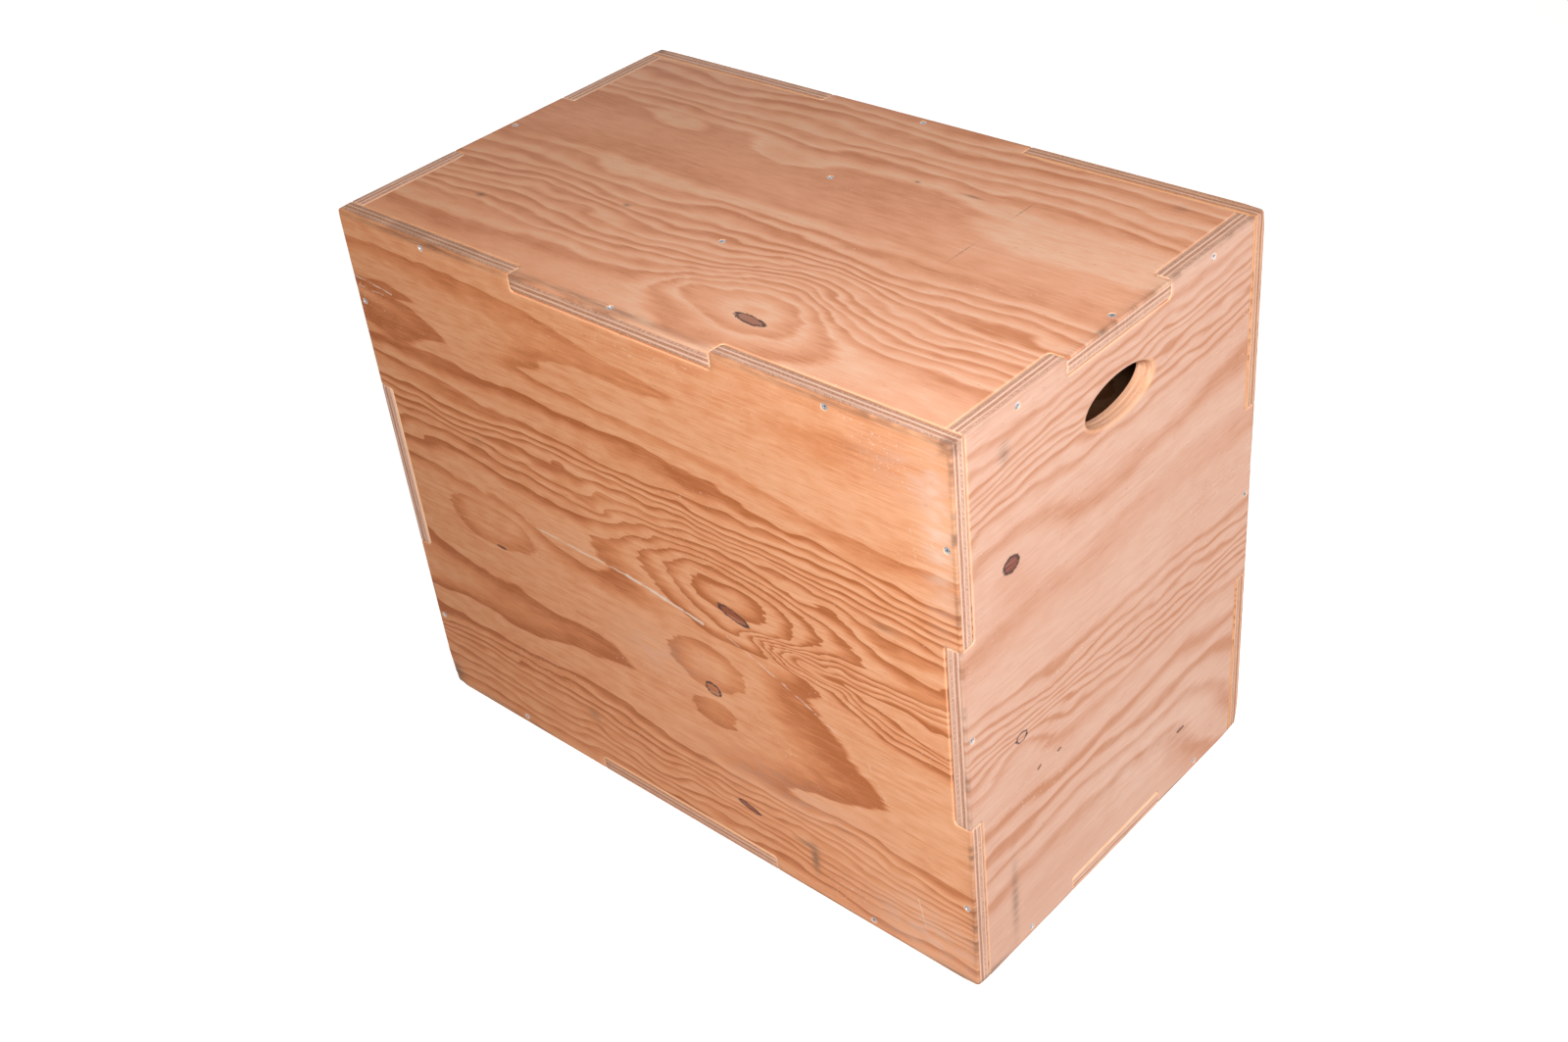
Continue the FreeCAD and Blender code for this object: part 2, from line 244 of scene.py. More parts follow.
def draw_down(board, edges, centre, shrink, depth):
    """Pull a ring of edges down and in, and return the new ring."""
    corners, ring = pull(board, edges)
    about = Matrix.Translation(-centre)
    bmesh.ops.scale(board, vec=(shrink, shrink, 1), space=about, verts=corners)
    bmesh.ops.translate(board, vec=(0, 0, -depth), verts=corners)
    return ring


def countersink(board, u, v):
    """Conical seat and blind bore for one screw in the outer face."""
    spot = Vector((u, v, PLY))
    mouth = HEAD_RADIUS + HEAD_RECESS
    rim = open_oval(board, spot, mouth, mouth, SEAT_MARGIN, SEAT_SIDES)
    throat = draw_down(board, rim, spot, BORE_RADIUS / mouth, CONE_DEPTH)
    bore_end = draw_down(board, throat, spot, 1, BORE_DEPTH)
    bmesh.ops.edgeloop_fill(board, edges=bore_end)


trial = saw(END)
thicken(trial)
countersink(trial, 0, 0)
print("end board with one countersink: closed" if all(edge.is_manifold for edge in trial.edges) else "open")
trial.free()

# %% [markdown]
# ## Where the screws go
# Every board is screwed through its outer face into the edge of its neighbour, half the ply's thickness in
# from the outside: a tab has one screw at its middle, and a notched edge has one on each shoulder. The lids
# have two more, into the brace. The places follow from the finger lines,
# and only the pitch of those two is a number of its own.

# %% List the screws of each board
BRACE_PITCH = 0.1524


def both_ways(reach):
    """A distance to either side of the middle."""
    return [-reach, reach]


def screw_spots(blank, brace_pitch=None):
    """Where a board is screwed, as places on its blank."""
    level, side = blank.half_v - PLY / 2, blank.half_u - PLY / 2
    along_level = [0] if blank.level_tab else both_ways((blank.half_u + blank.finger_u) / 2)
    along_side = [0] if blank.upright_tab else both_ways((blank.half_v + blank.finger_v) / 2)
    if blank is END:
        along_level = both_ways((blank.root_u + blank.finger_u) / 2)
    spots = [(u, sign * level) for sign in (1, -1) for u in along_level]
    spots += [(sign * side, v) for sign in (1, -1) for v in along_side]
    if brace_pitch:
        spots += [(0, brace_pitch / 2), (0, -brace_pitch / 2)]
    return spots


SPOTS = {"front": screw_spots(BROAD), "end": screw_spots(END), "lid": screw_spots(LID, BRACE_PITCH)}
for title, spots in SPOTS.items():
    print(title, "screws in mm:", [(round(MM * u, 1), round(MM * v, 1)) for u, v in spots])

# %% [markdown]
# ## Routed corners and eased edges
# A router can't leave a square inner corner, so each finger's root has a 4 mm radius, and the board that
# fits there has its own arris rounded to match: from outside both show as a small curve at the end of the
# joint. Bevel does both, on edges picked by where they lie. All other arrises get a light pass of
# sandpaper. A Bevel modifier would round every edge alike, so the edges are picked here instead.

# %% Round the fingers and ease the arrises
ROUT, GRIP_ROUND, GRIP_BACK, EASE, WELD = 0.004, 0.003, 0.0015, 0.0015, 0.0002
ROUND_STEPS, EASE_STEPS = 5, 2
SHARP = 1.2


def bevel(board, edges, offset, segments):
    """Round some edges, keeping each face's material."""
    bmesh.ops.bevel(board, geom=edges, offset=offset, segments=segments, profile=0.5, affect="EDGES",
                    material=-1, clamp_overlap=False)


def near(value, target):
    """Whether a coordinate, on either side of the middle, is at a line."""
    return abs(abs(value) - target) < SNAP


def is_root(blank, first, last):
    """Whether an edge stands in the inner corner of a finger."""
    upright = near(first.x - last.x, 0) and near(first.y - last.y, 0)
    level_root = near(first.x, blank.finger_u) and near(first.y, blank.root_v)
    side_root = near(first.x, blank.root_u) and near(first.y, blank.finger_v)
    return upright and (level_root or side_root)


def is_fitted(blank, first, last):
    """Whether an edge of the inner face lies in the inner corner of a neighbour's finger."""
    if not (near(first.z, 0) and near(last.z, 0)):
        return False
    beyond_v = min(abs(first.y), abs(last.y)) > blank.root_v + SNAP
    beyond_u = min(abs(first.x), abs(last.x)) > blank.root_u + SNAP
    on_u = near(first.x, blank.finger_u) and near(last.x, blank.finger_u)
    on_v = near(first.y, blank.finger_v) and near(last.y, blank.finger_v)
    return beyond_v and on_u or beyond_u and on_v


def route_fingers(board, blank):
    """Radius in each finger's root, and on the arrises that lie in a neighbour's root."""
    counts = []
    for chosen in (is_root, is_fitted):
        edges = [edge for edge in board.edges if chosen(blank, *(corner.co for corner in edge.verts))]
        bevel(board, edges, ROUT, ROUND_STEPS)
        counts.append(len(edges))
    return counts


def in_grip(corner):
    """Whether a corner is on the rim of the hand-hole."""
    up = corner.co.y - HALF.z + GRIP_DROP
    return math.hypot(corner.co.x / GRIP_WIDTH, up / GRIP_HEIGHT) < 0.5 + SNAP


def round_grip(board):
    """Roll the hand-hole's rims over, the outer one further."""
    for height, radius in ((PLY, GRIP_ROUND), (0, GRIP_BACK)):
        rim = [edge for edge in board.edges
               if all(in_grip(corner) and near(corner.co.z, height) for corner in edge.verts)]
        bevel(board, rim, radius, ROUND_STEPS)


def ease(board):
    """Weld the slivers that routing left, and take every sharp outer arris off with a narrow bevel."""
    bmesh.ops.remove_doubles(board, verts=board.verts[:], dist=WELD)
    sharp = [edge for edge in board.edges if edge.is_manifold and edge.calc_face_angle_signed() > SHARP]
    bevel(board, sharp, EASE, EASE_STEPS)


trial = saw(BROAD)
thicken(trial)
print("front: roots and matching arrises", route_fingers(trial, BROAD), "closed:",
      all(edge.is_manifold for edge in trial.edges))
trial.free()

# %% [markdown]
# ## Strips for the wear
# Years of knocks have rounded the outside of the box. A bevel has one width, but these edges are rounder at
# the corners and nicked along their length, so points have to be moved one by one. First there must be
# points to move: each board is cut into strips that are close together near its edges.

# %% Cut a board into strips
NEAR_EDGE = [0.0008, 0.0017, 0.003, 0.0048, 0.0075, 0.0115]
STRIP = 0.009


def strip_lines(half):
    """Cutting lines across a board, close together at its edges."""
    count = round(2 * (half - NEAR_EDGE[-1]) / STRIP)
    lines = [(2 * step / count - 1) * (half - NEAR_EDGE[-1]) for step in range(count + 1)]
    return lines + [side * (half - reach) for reach in NEAR_EDGE[:-1] for side in (1, -1)]


def slice_board(board, half_u, half_v):
    """Cut a board along both directions and through its thickness."""
    cuts = [(Vector((line, 0, 0)), Vector((1, 0, 0))) for line in strip_lines(half_u)]
    cuts += [(Vector((0, line, 0)), Vector((0, 1, 0))) for line in strip_lines(half_v)]
    cuts += [(Vector((0, 0, PLY - depth)), Vector((0, 0, 1))) for depth in NEAR_EDGE]
    for place, across in cuts:
        everything = [*board.verts, *board.edges, *board.faces]
        bmesh.ops.bisect_plane(board, geom=everything, dist=SNAP, plane_co=place, plane_no=across)


print("cuts across the front:", len(strip_lines(HALF.x)), "and", len(strip_lines(HALF.z)))

# %% [markdown]
# ## Wear
# Every point of the outside is now drawn in to a rounded box whose radius changes from place to place: a
# little by noise, more at each knocked corner. Sculpting would give the same look, but it couldn't be
# repeated. Two boards that meet at an edge are drawn in alike, because the radius depends only on the place.

# %% Draw the outside in to a worn, rounded box
Knock = namedtuple("Knock", "place radius spread")
FRONT, BACK, LEFT, RIGHT, DOWN, UP = -HALF.y, HALF.y, -HALF.x, HALF.x, cad_low.z, cad_high.z
CORNERS = [
    Knock(Vector((LEFT, FRONT, DOWN)), 0.0085, Vector((0.012, 0.012, 0.026))),
    Knock(Vector((RIGHT, BACK, DOWN)), 0.0060, Vector((0.018, 0.018, 0.020))),
    Knock(Vector((RIGHT, FRONT, DOWN)), 0.0025, Vector((0.014, 0.014, 0.018))),
    Knock(Vector((LEFT, BACK, DOWN)), 0.0040, Vector((0.018, 0.018, 0.018))),
    Knock(Vector((RIGHT, FRONT, UP)), 0.0020, Vector((0.012, 0.012, 0.012))),
    Knock(Vector((LEFT, FRONT, UP)), 0.0020, Vector((0.014, 0.014, 0.012))),
    Knock(Vector((RIGHT, BACK, UP)), 0.0025, Vector((0.014, 0.014, 0.014))),
    Knock(Vector((LEFT, BACK, UP)), 0.0025, Vector((0.014, 0.014, 0.014))),
]
SANDED, WANDER, NICK, NICK_START = 0.0013, 0.0007, 0.0030, 0.42
WANDERS_PER_M, NICKS_PER_M, CHIPS_PER_M = 14, 55, 160


def wear_radius(place):
    """Radius to which the outside is worn at a place."""
    radius = SANDED + WANDER * noise.noise(place * WANDERS_PER_M)
    radius += NICK * max(0, noise.noise(place * NICKS_PER_M) - NICK_START)
    for corner in CORNERS:
        away = place - corner.place
        gap = Vector(part / reach for part, reach in zip(away, corner.spread)).length
        radius += corner.radius * math.exp(-gap * gap) * (1 + 0.5 * noise.noise(place * CHIPS_PER_M))
    return radius


def draw_in(place):
    """A point of the outside, moved in to the worn shape."""
    radius = wear_radius(place)
    core = Vector(
        min(max(place[axis], cad_low[axis] + radius), cad_high[axis] - radius) for axis in range(3)
    )
    away = place - core
    return core + away * (radius / away.length) if away.length > radius else place


for corner in CORNERS:
    print("corner at", [round(MM * part) for part in corner.place], "worn to",
          round(MM * wear_radius(corner.place), 1), "mm")

# %% [markdown]
# ## The six boards
# Every board now goes through the same steps, stands where its solid stands, and takes that solid's place.
# The place goes into the mesh, and the object stays at the origin. Faces are smooth, and edges sharper than
# about a quarter of a right angle stay crisp.

# %% Make and stand the boards
CRISP = math.radians(24)
Stand = namedtuple("Stand", "blank spots yaw roll place")
BOARDS = {
    "front": Stand(BROAD, SPOTS["front"], 0, 90, Vector((0, FRONT + PLY, MIDDLE.z))),
    "back": Stand(BROAD, SPOTS["front"], 180, 90, Vector((0, BACK - PLY, MIDDLE.z))),
    "right_end": Stand(END, SPOTS["end"], 90, 90, Vector((RIGHT - PLY, 0, MIDDLE.z))),
    "left_end": Stand(END, SPOTS["end"], -90, 90, Vector((LEFT + PLY, 0, MIDDLE.z))),
    "top": Stand(LID, SPOTS["lid"], 0, 0, Vector((0, 0, UP - PLY))),
    "bottom": Stand(LID, SPOTS["lid"], 0, 180, Vector((0, 0, DOWN + PLY))),
}


def standing(board):
    """Matrix that stands a flat board in the box."""
    yaw = Matrix.Rotation(math.radians(board.yaw), 4, "Z")
    roll = Matrix.Rotation(math.radians(board.roll), 4, "X")
    return Matrix.Translation(board.place) @ (yaw @ roll)


def finish_piece(name, shape, replaced):
    """Turn a bmesh into a piece of the box that stands for a solid."""
    mesh = bpy.data.meshes.new(name)
    shape.to_mesh(mesh)
    shape.free()
    mesh.shade_smooth()
    mesh.set_sharp_from_angle(angle=CRISP)
    piece = bpy.data.objects.new(name, mesh)
    bpy.context.scene.collection.objects.link(piece)
    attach(piece, "root")
    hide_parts(replaced)
    return piece


pieces = {}
for title, stand in BOARDS.items():
    board = saw(stand.blank)
    if stand.blank is END:
        cut_grip(board)
    thicken(board)
    for u, v in stand.spots:
        countersink(board, u, v)
    bmesh.ops.recalc_face_normals(board, faces=board.faces[:])
    route_fingers(board, stand.blank)
    if stand.blank is END:
        round_grip(board)
    ease(board)
    slice_board(board, stand.blank.half_u, stand.blank.half_v)
    bmesh.ops.transform(board, matrix=standing(stand), verts=board.verts[:])
    for corner in board.verts:
        corner.co = draw_in(corner.co)
    closed = all(edge.is_manifold for edge in board.edges)
    count = sum(len(face.verts) - 2 for face in board.faces)
    print(title, "board:", count, "triangles, closed" if closed else "triangles, open")
    pieces[title] = finish_piece(title + "_board", board, title + "_panel")

# %% [markdown]
# ## The centre brace
# Inside, a plain board stands across the middle, under the two inner screws of the lid. It only shows as a
# dim shape through the hand-holes, so it is a sawn and eased board with no fingers.

# %% Stand the brace
brace_low, brace_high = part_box("centre_brace")
brace_size = brace_high - brace_low
brace = bmesh.new()
bmesh.ops.create_grid(brace, x_segments=8, y_segments=12, size=0.5)
bmesh.ops.scale(brace, vec=(brace_size.y, brace_size.z, 1), verts=brace.verts[:])
thicken(brace)
ease(brace)
BRACE = Stand(None, [], 90, 90, Vector((brace_low.x, 0, MIDDLE.z)))
bmesh.ops.transform(brace, matrix=standing(BRACE), verts=brace.verts[:])
pieces["brace"] = finish_piece("brace_board", brace, "centre_brace")
print("brace stands from", [round(MM * part, 1) for part in brace_low])

# %% [markdown]
# ## Wood screws
# The screws are zinc-plated, countersunk and cross-headed. One screw starts as a grid whose middle cells
# form the cross, which is pushed down into the head. The grid's outline is bridged to a circle, and that
# circle is drawn down in steps: the head's rim, its cone, the shank and the point. A lathe-like spin would
# make the outside sooner, but it leaves no square cells for the cross.

# %% Model one screw
SHANK_RADIUS, POINT_RADIUS, CROWN_RADIUS = 0.0016, 0.0003, HEAD_RADIUS - 0.0003
CROWN_DROP, CROWN_SIDES = 0.00005, 20
CROSS_LINES = [-0.0021, -0.0017, -0.00045, 0.00045, 0.0017, 0.0021]
CROSS_CELLS = {(2, 1), (2, 2), (2, 3), (1, 2), (3, 2)}
CROSS_DEPTH, CROSS_TAPER = 0.0013, 0.62
SCREW_STEPS = [(HEAD_RADIUS, 0.00015), (SHANK_RADIUS, 0.0019), (SHANK_RADIUS, 0.033), (POINT_RADIUS, 0.005)]


def cell_key(cell):
    """Column and row of a cell of the grid."""
    middle = cell.calc_center_median()
    return int(middle.x + REACH), int(middle.y + REACH)


def screw():
    """Countersunk screw, its head's face at height 0 and its point below."""
    shape = bmesh.new()
    bmesh.ops.create_grid(shape, x_segments=CELLS, y_segments=CELLS, size=REACH)
    cross_faces = [cell for cell in shape.faces if cell_key(cell) in CROSS_CELLS]
    outline = [edge for edge in shape.edges if edge.is_boundary]
    for corner in shape.verts:
        corner.co.x = CROSS_LINES[round(corner.co.x + REACH)]
        corner.co.y = CROSS_LINES[round(corner.co.y + REACH)]
    cross = bmesh.ops.extrude_face_region(shape, geom=cross_faces)["geom"]
    cross_floor = [item for item in cross if isinstance(item, bmesh.types.BMVert)]
    bmesh.ops.scale(shape, vec=(CROSS_TAPER, CROSS_TAPER, 1), verts=cross_floor)
    bmesh.ops.translate(shape, vec=(0, 0, -CROSS_DEPTH), verts=cross_floor)
    bmesh.ops.delete(shape, geom=cross_faces, context="FACES")
    crown = bmesh.ops.create_circle(shape, segments=CROWN_SIDES, radius=CROWN_RADIUS,
                                    matrix=Matrix.Translation((0, 0, -CROWN_DROP)))
    ring = list({edge for corner in crown["verts"] for edge in corner.link_edges})
    bmesh.ops.bridge_loops(shape, edges=outline + ring)
    radius = CROWN_RADIUS
    for next_radius, drop in SCREW_STEPS:
        ring = draw_down(shape, ring, Vector(), next_radius / radius, drop)
        radius = next_radius
    bmesh.ops.edgeloop_fill(shape, edges=ring)
    bmesh.ops.recalc_face_normals(shape, faces=shape.faces[:])
    return shape


one = screw()
closed = all(edge.is_manifold for edge in one.edges)
print("one screw:", len(one.faces), "faces, closed" if closed else "faces, open")
pattern = bpy.data.meshes.new("screw pattern")
one.to_mesh(pattern)
one.free()

# %% [markdown]
# ## Driving the screws
# No two screws are driven alike, and a row of heads turned the same way looks false. The one screw is copied
# to every spot of a board, at a slightly different depth and turn, and the screws of a board are one piece.
# The chance comes from the spot and the length of the board's name, so it is the same in every run.

# %% Drive the screws
SINK_SPREAD = 0.00015
CHANCE_CELLS_PER_M = 100

for title, stand in BOARDS.items():
    group = bmesh.new()
    for u, v in stand.spots:
        chance = noise.cell_vector(Vector((u, v, 1 + len(title))) * CHANCE_CELLS_PER_M)
        driven = PLY - HEAD_RECESS - SINK_SPREAD * abs(chance.x)
        turn = Matrix.Rotation(math.pi * chance.y, 4, "Z")
        already = len(group.verts)
        group.from_mesh(pattern)
        group.verts.ensure_lookup_table()
        place = standing(stand) @ Matrix.Translation((u, v, driven)) @ turn
        bmesh.ops.transform(group, matrix=place, verts=group.verts[already:])
    name = title + "_screws"
    pieces[name] = finish_piece(name, group, title + "_panel_screws")
print("screws driven:", sum(len(stand.spots) for stand in BOARDS.values()))
bpy.data.meshes.remove(pattern)

# %% [markdown]
# ## Maths on sockets
# The finishes are all worked out from the place on the board, with hundreds of nodes on every board. A small
# class wraps a socket, so that a sum on sockets is written as a sum in Python and adds its own Math nodes.
# Every other node comes from its one method.

# %% A wire that can do sums
class Wire:
    """A value on its way through a material's nodes."""

    def __init__(self, tree, socket=None):
        self.tree = tree
        self.socket = socket

    def node(self, kind, settings, inputs, output=0):
        """Add a node of a kind: its settings first, then the values or wires of its sockets."""
        made = self.tree.nodes.new("ShaderNode" + kind)
        for name, setting in settings.items():
            setattr(made, name, setting)
        for name, value in inputs.items():
            if isinstance(value, Wire):
                self.tree.links.new(value.socket, made.inputs[name])
            else:
                made.inputs[name].default_value = value
        return Wire(self.tree, made.outputs[output])

    def into(self, shader, name):
        """Lead this wire to a socket of a shader."""
        self.tree.links.new(self.socket, shader.inputs[name])

    def sum(self, operation, *others):
        """One Math node on this wire and other values."""
        return self.node("Math", {"operation": operation}, dict(enumerate((self, *others))))

    def __add__(self, other):
        return self.sum("ADD", other)

    def __sub__(self, other):
        return self.sum("SUBTRACT", other)

    def __rsub__(self, other):
        return self.node("Math", {"operation": "SUBTRACT"}, {0: other, 1: self})

    def __mul__(self, other):
        return self.sum("MULTIPLY", other)

    def __truediv__(self, other):
        return self.sum("DIVIDE", other)

    def __pow__(self, other):
        return self.sum("POWER", other)

    def __abs__(self):
        return self.sum("ABSOLUTE")

    __radd__ = __add__
    __rmul__ = __mul__

    def least(self, other):
        return self.sum("MINIMUM", other)

    def most(self, other):
        return self.sum("MAXIMUM", other)

    def between(self, low, high):
        """Smooth rise from 0 at one value to 1 at another, which may be the lower one."""
        settings = {"interpolation_type": "SMOOTHSTEP"}
        return self.node("MapRange", settings, {"Value": self, "From Min": low, "From Max": high})

    def blend(self, first, second, blend_type="MIX"):
        """Colour between two, with this wire as the factor."""
        settings = {"data_type": "RGBA", "blend_type": blend_type}
        return self.node("Mix", settings, {0: self, 6: first, 7: second}, 2)


def tint(red, green, blue):
    """Colour of a paint chart, 0 to 255, as the renderer's linear light."""
    parts = [part / 255 for part in (red, green, blue)]
    return (*[part / 12.92 if part <= 0.04045 else ((part + 0.055) / 1.055) ** 2.4 for part in parts], 1)


def new_finish(name):
    """Empty material and its shader."""
    material = bpy.data.materials.new(name)
    material.use_nodes = True
    return material, material.node_tree.nodes["Principled BSDF"]


print("pine, as linear light:", [round(part, 3) for part in tint(226, 166, 124)])

# %% [markdown]
# ## Where on the board
# All the wood finishes read the same three distances in millimetres: along the grain, across it, and in from
# the board's outer face. Turning a point of the box back by the board's own matrix gives them, so one recipe
# serves boards that stand, lie or face away. Unwrapped coordinates would do for the faces alone, but not for
# the cut edges, where the layers have to carry on inside the board.

# %% Board coordinates
def turned_back(vector, row):
    """One part of a vector in the board's own directions."""
    return vector.node("VectorMath", {"operation": "DOT_PRODUCT"}, {0: vector, 1: row.xyz}, "Value")


def on_board(tree, matrix):
    """Distances along the grain, across it and in from the outer face, in millimetres."""
    place = Wire(tree).node("TexCoord", {}, {}, "Object")
    u, v, height = [turned_back(place, row) * MM + row.w * MM for row in matrix.inverted()[:3]]
    return u, v, PLY * MM - height


def facing(tree, matrix):
    """How squarely the surface faces along the grain, across it and out of the board."""
    normal = Wire(tree).node("TexCoord", {}, {}, "Normal")
    return [abs(turned_back(normal, row)) for row in matrix.inverted()[:3]]


def fibre(u, v, w, length, width, detail=2.0):
    """Noise that is long along the grain and narrow across it."""
    spot = u.node("CombineXYZ", {}, {"X": u / length, "Y": v / width, "Z": w})
    return u.node("TexNoise", {}, {"Vector": spot, "Scale": 1, "Detail": detail})


def nodes_of(recipe):
    """How many nodes a recipe makes, on a material that is thrown away."""
    material, _ = new_finish("trial")
    recipe(*on_board(material.node_tree, Matrix()))
    count = len(material.node_tree.nodes)
    bpy.data.materials.remove(material)
    return count


print("nodes for a noise along the grain:", nodes_of(lambda u, v, depth: fibre(u, v, depth, 30, 1)))

# %% [markdown]
# ## Figure of a peeled veneer
# The face of this plywood is peeled off a turning log, so the knife runs in and out of the yearly rings and
# leaves broad flames, crowded lines and eyes. They are the level lines of a gentle landscape, and the
# finish adds up its steps, hills, terraces, tongues and fans in counts of rings and keeps the fraction. A
# ring starts pale, darkens into late wood and ends sharply, so a hollow shows as a dark flame and a hill as
# a pale eye. The place is first shaken a little across the fibres, which makes the lines waver, and slipped
# along them, which tears the tips. A Wave texture makes rings too, but they can't be told where to swell.

# %% Shapes of the ring landscape
Crowd = namedtuple("Crowd", "v spread rings tilt")
Swell = namedtuple("Swell", "u v length width rings")
Tongue = namedtuple("Tongue", "u v length width fade rings")
Fan = namedtuple("Fan", "u v width widen tilt rings")


def oval(u, v, swell):
    """Squared distance from the middle of an oval, 1 at its outline."""
    du, dv = (u - swell.u) / swell.length, (v - swell.v) / swell.width
    return du * du + dv * dv


def hill(u, v, swell):
    """Smooth hill of height 1, longer along the grain."""
    fall = oval(u, v, swell) * -1
    return fall.sum("EXPONENT")


def terrace(u, v, swell):
    """Hill of height 1 with a flat top and steep sides."""
    fall = oval(u, v, swell) ** 2 * -1
    return fall.sum("EXPONENT")


def tongue(u, v, shape):
    """Rise from 0 outside a rounded tongue, which points along the grain, to 1 deep inside it."""
    bow = (v - shape.v) / shape.width
    return (u - shape.u + bow * bow * shape.length).between(0, -shape.fade)


def spread_fan(u, v, fan):
    """Ridge of height 1 that starts at a knot and widens along the grain, with straight level lines."""
    run = u - fan.u
    dv = (v - fan.v - run * fan.tilt) / (run.most(1) * fan.widen + fan.width)
    fall = dv * dv * -1
    return fall.sum("EXPONENT") * run.between(0, 90)


print("nodes for a hill:", nodes_of(lambda u, v, depth: hill(u, v, Swell(0, 0, 50, 20, 1))))

# %% [markdown]
# ## Counting the rings
# The shapes are added up to a count of rings at each place, and the fraction of the count says how far the
# knife has come through one year's growth. Each ring also has a strength of its own, by chance, because wet
# and dry years differ.

# %% Rings
def rings(u, v, figure):
    """Rings that the knife has passed at a place."""
    shake = (fibre(u, v, figure.seed, 170, 60, 1.0) - 0.5) * 44
    shake = shake + (fibre(u, v, figure.seed + 5, 46, 18, 1.0) - 0.5) * 13
    slip = (fibre(u, v, figure.seed + 2, 90, 5, 1.5) - 0.5) * 34
    slip = slip + (fibre(u, v, figure.seed + 3, 30, 1.4, 1.0) - 0.5) * 9
    u, v = u + slip * figure.slip, v + shake
    count = (fibre(u, v, figure.seed + 7, 300, 70, 1.0) - 0.5) * figure.swing + figure.base
    for crowd in figure.crowds:
        rise = (v - u * crowd.tilt).between(crowd.v - crowd.spread, crowd.v + crowd.spread)
        count = count + rise * crowd.rings
    for swell in figure.swells:
        count = count + hill(u, v, swell) * swell.rings
    for flame in figure.flames:
        count = count + terrace(u, v, flame) * flame.rings
    for shape in figure.tongues:
        count = count + tongue(u, v, shape) * shape.rings
    for fan in figure.fans:
        count = count + spread_fan(u, v, fan) * fan.rings
    return count


def chance_of(number):
    """Chance value of a whole number, the same wherever that number comes up."""
    return number.node("TexWhiteNoise", {"noise_dimensions": "1D"}, {"W": number})


def late_wood(count, start, edge):
    """Dark part of a ring: it deepens slowly from its start, and ends over a share of the ring."""
    ring = count.sum("FRACT")
    strength = chance_of(count.sum("FLOOR")) * 0.5 + 0.75
    return ring.between(start, 0.98 - edge) * ring.between(1, 1 - edge) * strength


print("nodes for the late wood:", nodes_of(lambda u, v, depth: late_wood(u, 0.3, 0.1)))

# %% [markdown]
# ## Knots and scratches
# A knot is a cut branch: a ragged oval, darker at its rim, where it has shrunk from the wood round it. A
# scratch is a straight stroke through the varnish. Both are distances from a place that was read off the
# board, and no picture of them is needed.

# %% Knots and scratches
Knot = namedtuple("Knot", "u v length width tilt dark")
Stroke = namedtuple("Stroke", "u v end_u end_v width show")


def knot_distance(u, v, knot, ragged):
    """Distance from a knot's middle, 1 at its ragged outline."""
    turn = math.radians(knot.tilt)
    du, dv = u - knot.u, v - knot.v
    along = (du * math.cos(turn) + dv * math.sin(turn)) / knot.length
    across = (dv * math.cos(turn) - du * math.sin(turn)) / knot.width
    return (along * along + across * across) ** 0.5 + (ragged - 0.5) * 0.6


def stroke_distance(u, v, stroke):
    """Distance from a straight mark, in counts of its half width."""
    run_u, run_v = stroke.end_u - stroke.u, stroke.end_v - stroke.v
    span = run_u * run_u + run_v * run_v
    share = ((u - stroke.u) * run_u + (v - stroke.v) * run_v) / span
    share = share.most(0).least(1)
    du, dv = u - stroke.u - share * run_u, v - stroke.v - share * run_v
    return (du * du + dv * dv) ** 0.5 / stroke.width


print("nodes for a scratch:", nodes_of(lambda u, v, depth: stroke_distance(u, v, Stroke(0, 0, 9, 3, 1, 1))))

# %% [markdown]
# ## Plywood through its thickness
# Where the boards are cut, seven layers show, turned crosswise in turn: one shows long fibres and the next
# the dark ends of them, with thin glue lines between. The finish is therefore worked out for a place inside
# the board, and an edge, a rounded arris or the wall of a hand-hole cuts through the same layers.

# %% The layers
LAYERS = 7
LAYER = PLY * MM / LAYERS
LONG_GRAIN, END_GRAIN, GLUE = tint(252, 208, 184), tint(194, 138, 112), tint(146, 92, 72)


def layers(u, v, depth, face_u, face_v):
    """Colour of the cut layers, their relief, and where the face veneers give way to them."""
    wavy = depth + (fibre(u, v, 3, 45, 45) - 0.5) * 1.1
    layer = wavy / LAYER
    number = layer.sum("FLOOR")
    crosswise = number.sum("MODULO", 2)
    lengthwise = fibre(u, v, depth / 0.9, 26, 0.9)
    sideways = fibre(u, v, depth / 0.9, 0.9, 26)
    cut = lengthwise + (sideways - lengthwise) * crosswise
    ends = (face_u + (face_v - face_u) * crosswise).between(0.3, 0.9)
    slant = fibre(u * face_v + v * face_u + depth * 1.5, number, 0, 2.4, 0.1, 1)
    tone = ends * 0.6 + ends * (slant - 0.5) * 1.5 + (cut - 0.5) * 1.4
    tone = tone + (chance_of(number) - 0.5) * 0.45 + 0.1
    colour = tone.between(0, 1).blend(LONG_GRAIN, END_GRAIN)
    seam = abs(layer - layer.sum("ROUND")).between(0.11, 0.03)
    seam = seam * fibre(u, v, number, 30, 30).between(0.25, 0.6)
    colour = (seam * 0.8).blend(colour, GLUE)
    last = (LAYERS - 1) * LAYER
    inside = depth.between(LAYER - 0.3, LAYER) * depth.between(last + 0.3, last)
    return colour, cut - seam * 0.6, inside


print(LAYERS, "layers of", round(LAYER, 2), "mm")

# %% [markdown]
# ## Clean veneer
# A planed veneer is never one colour: hair-fine threads, longer streaks and broad patches lie over its
# rings. They are noises of different length and width. Four of them and the rings add up to one tone, which
# picks a colour between a pale, a middle and a deep one, and the fifth is kept for the pores. Calm places
# have fainter rings.

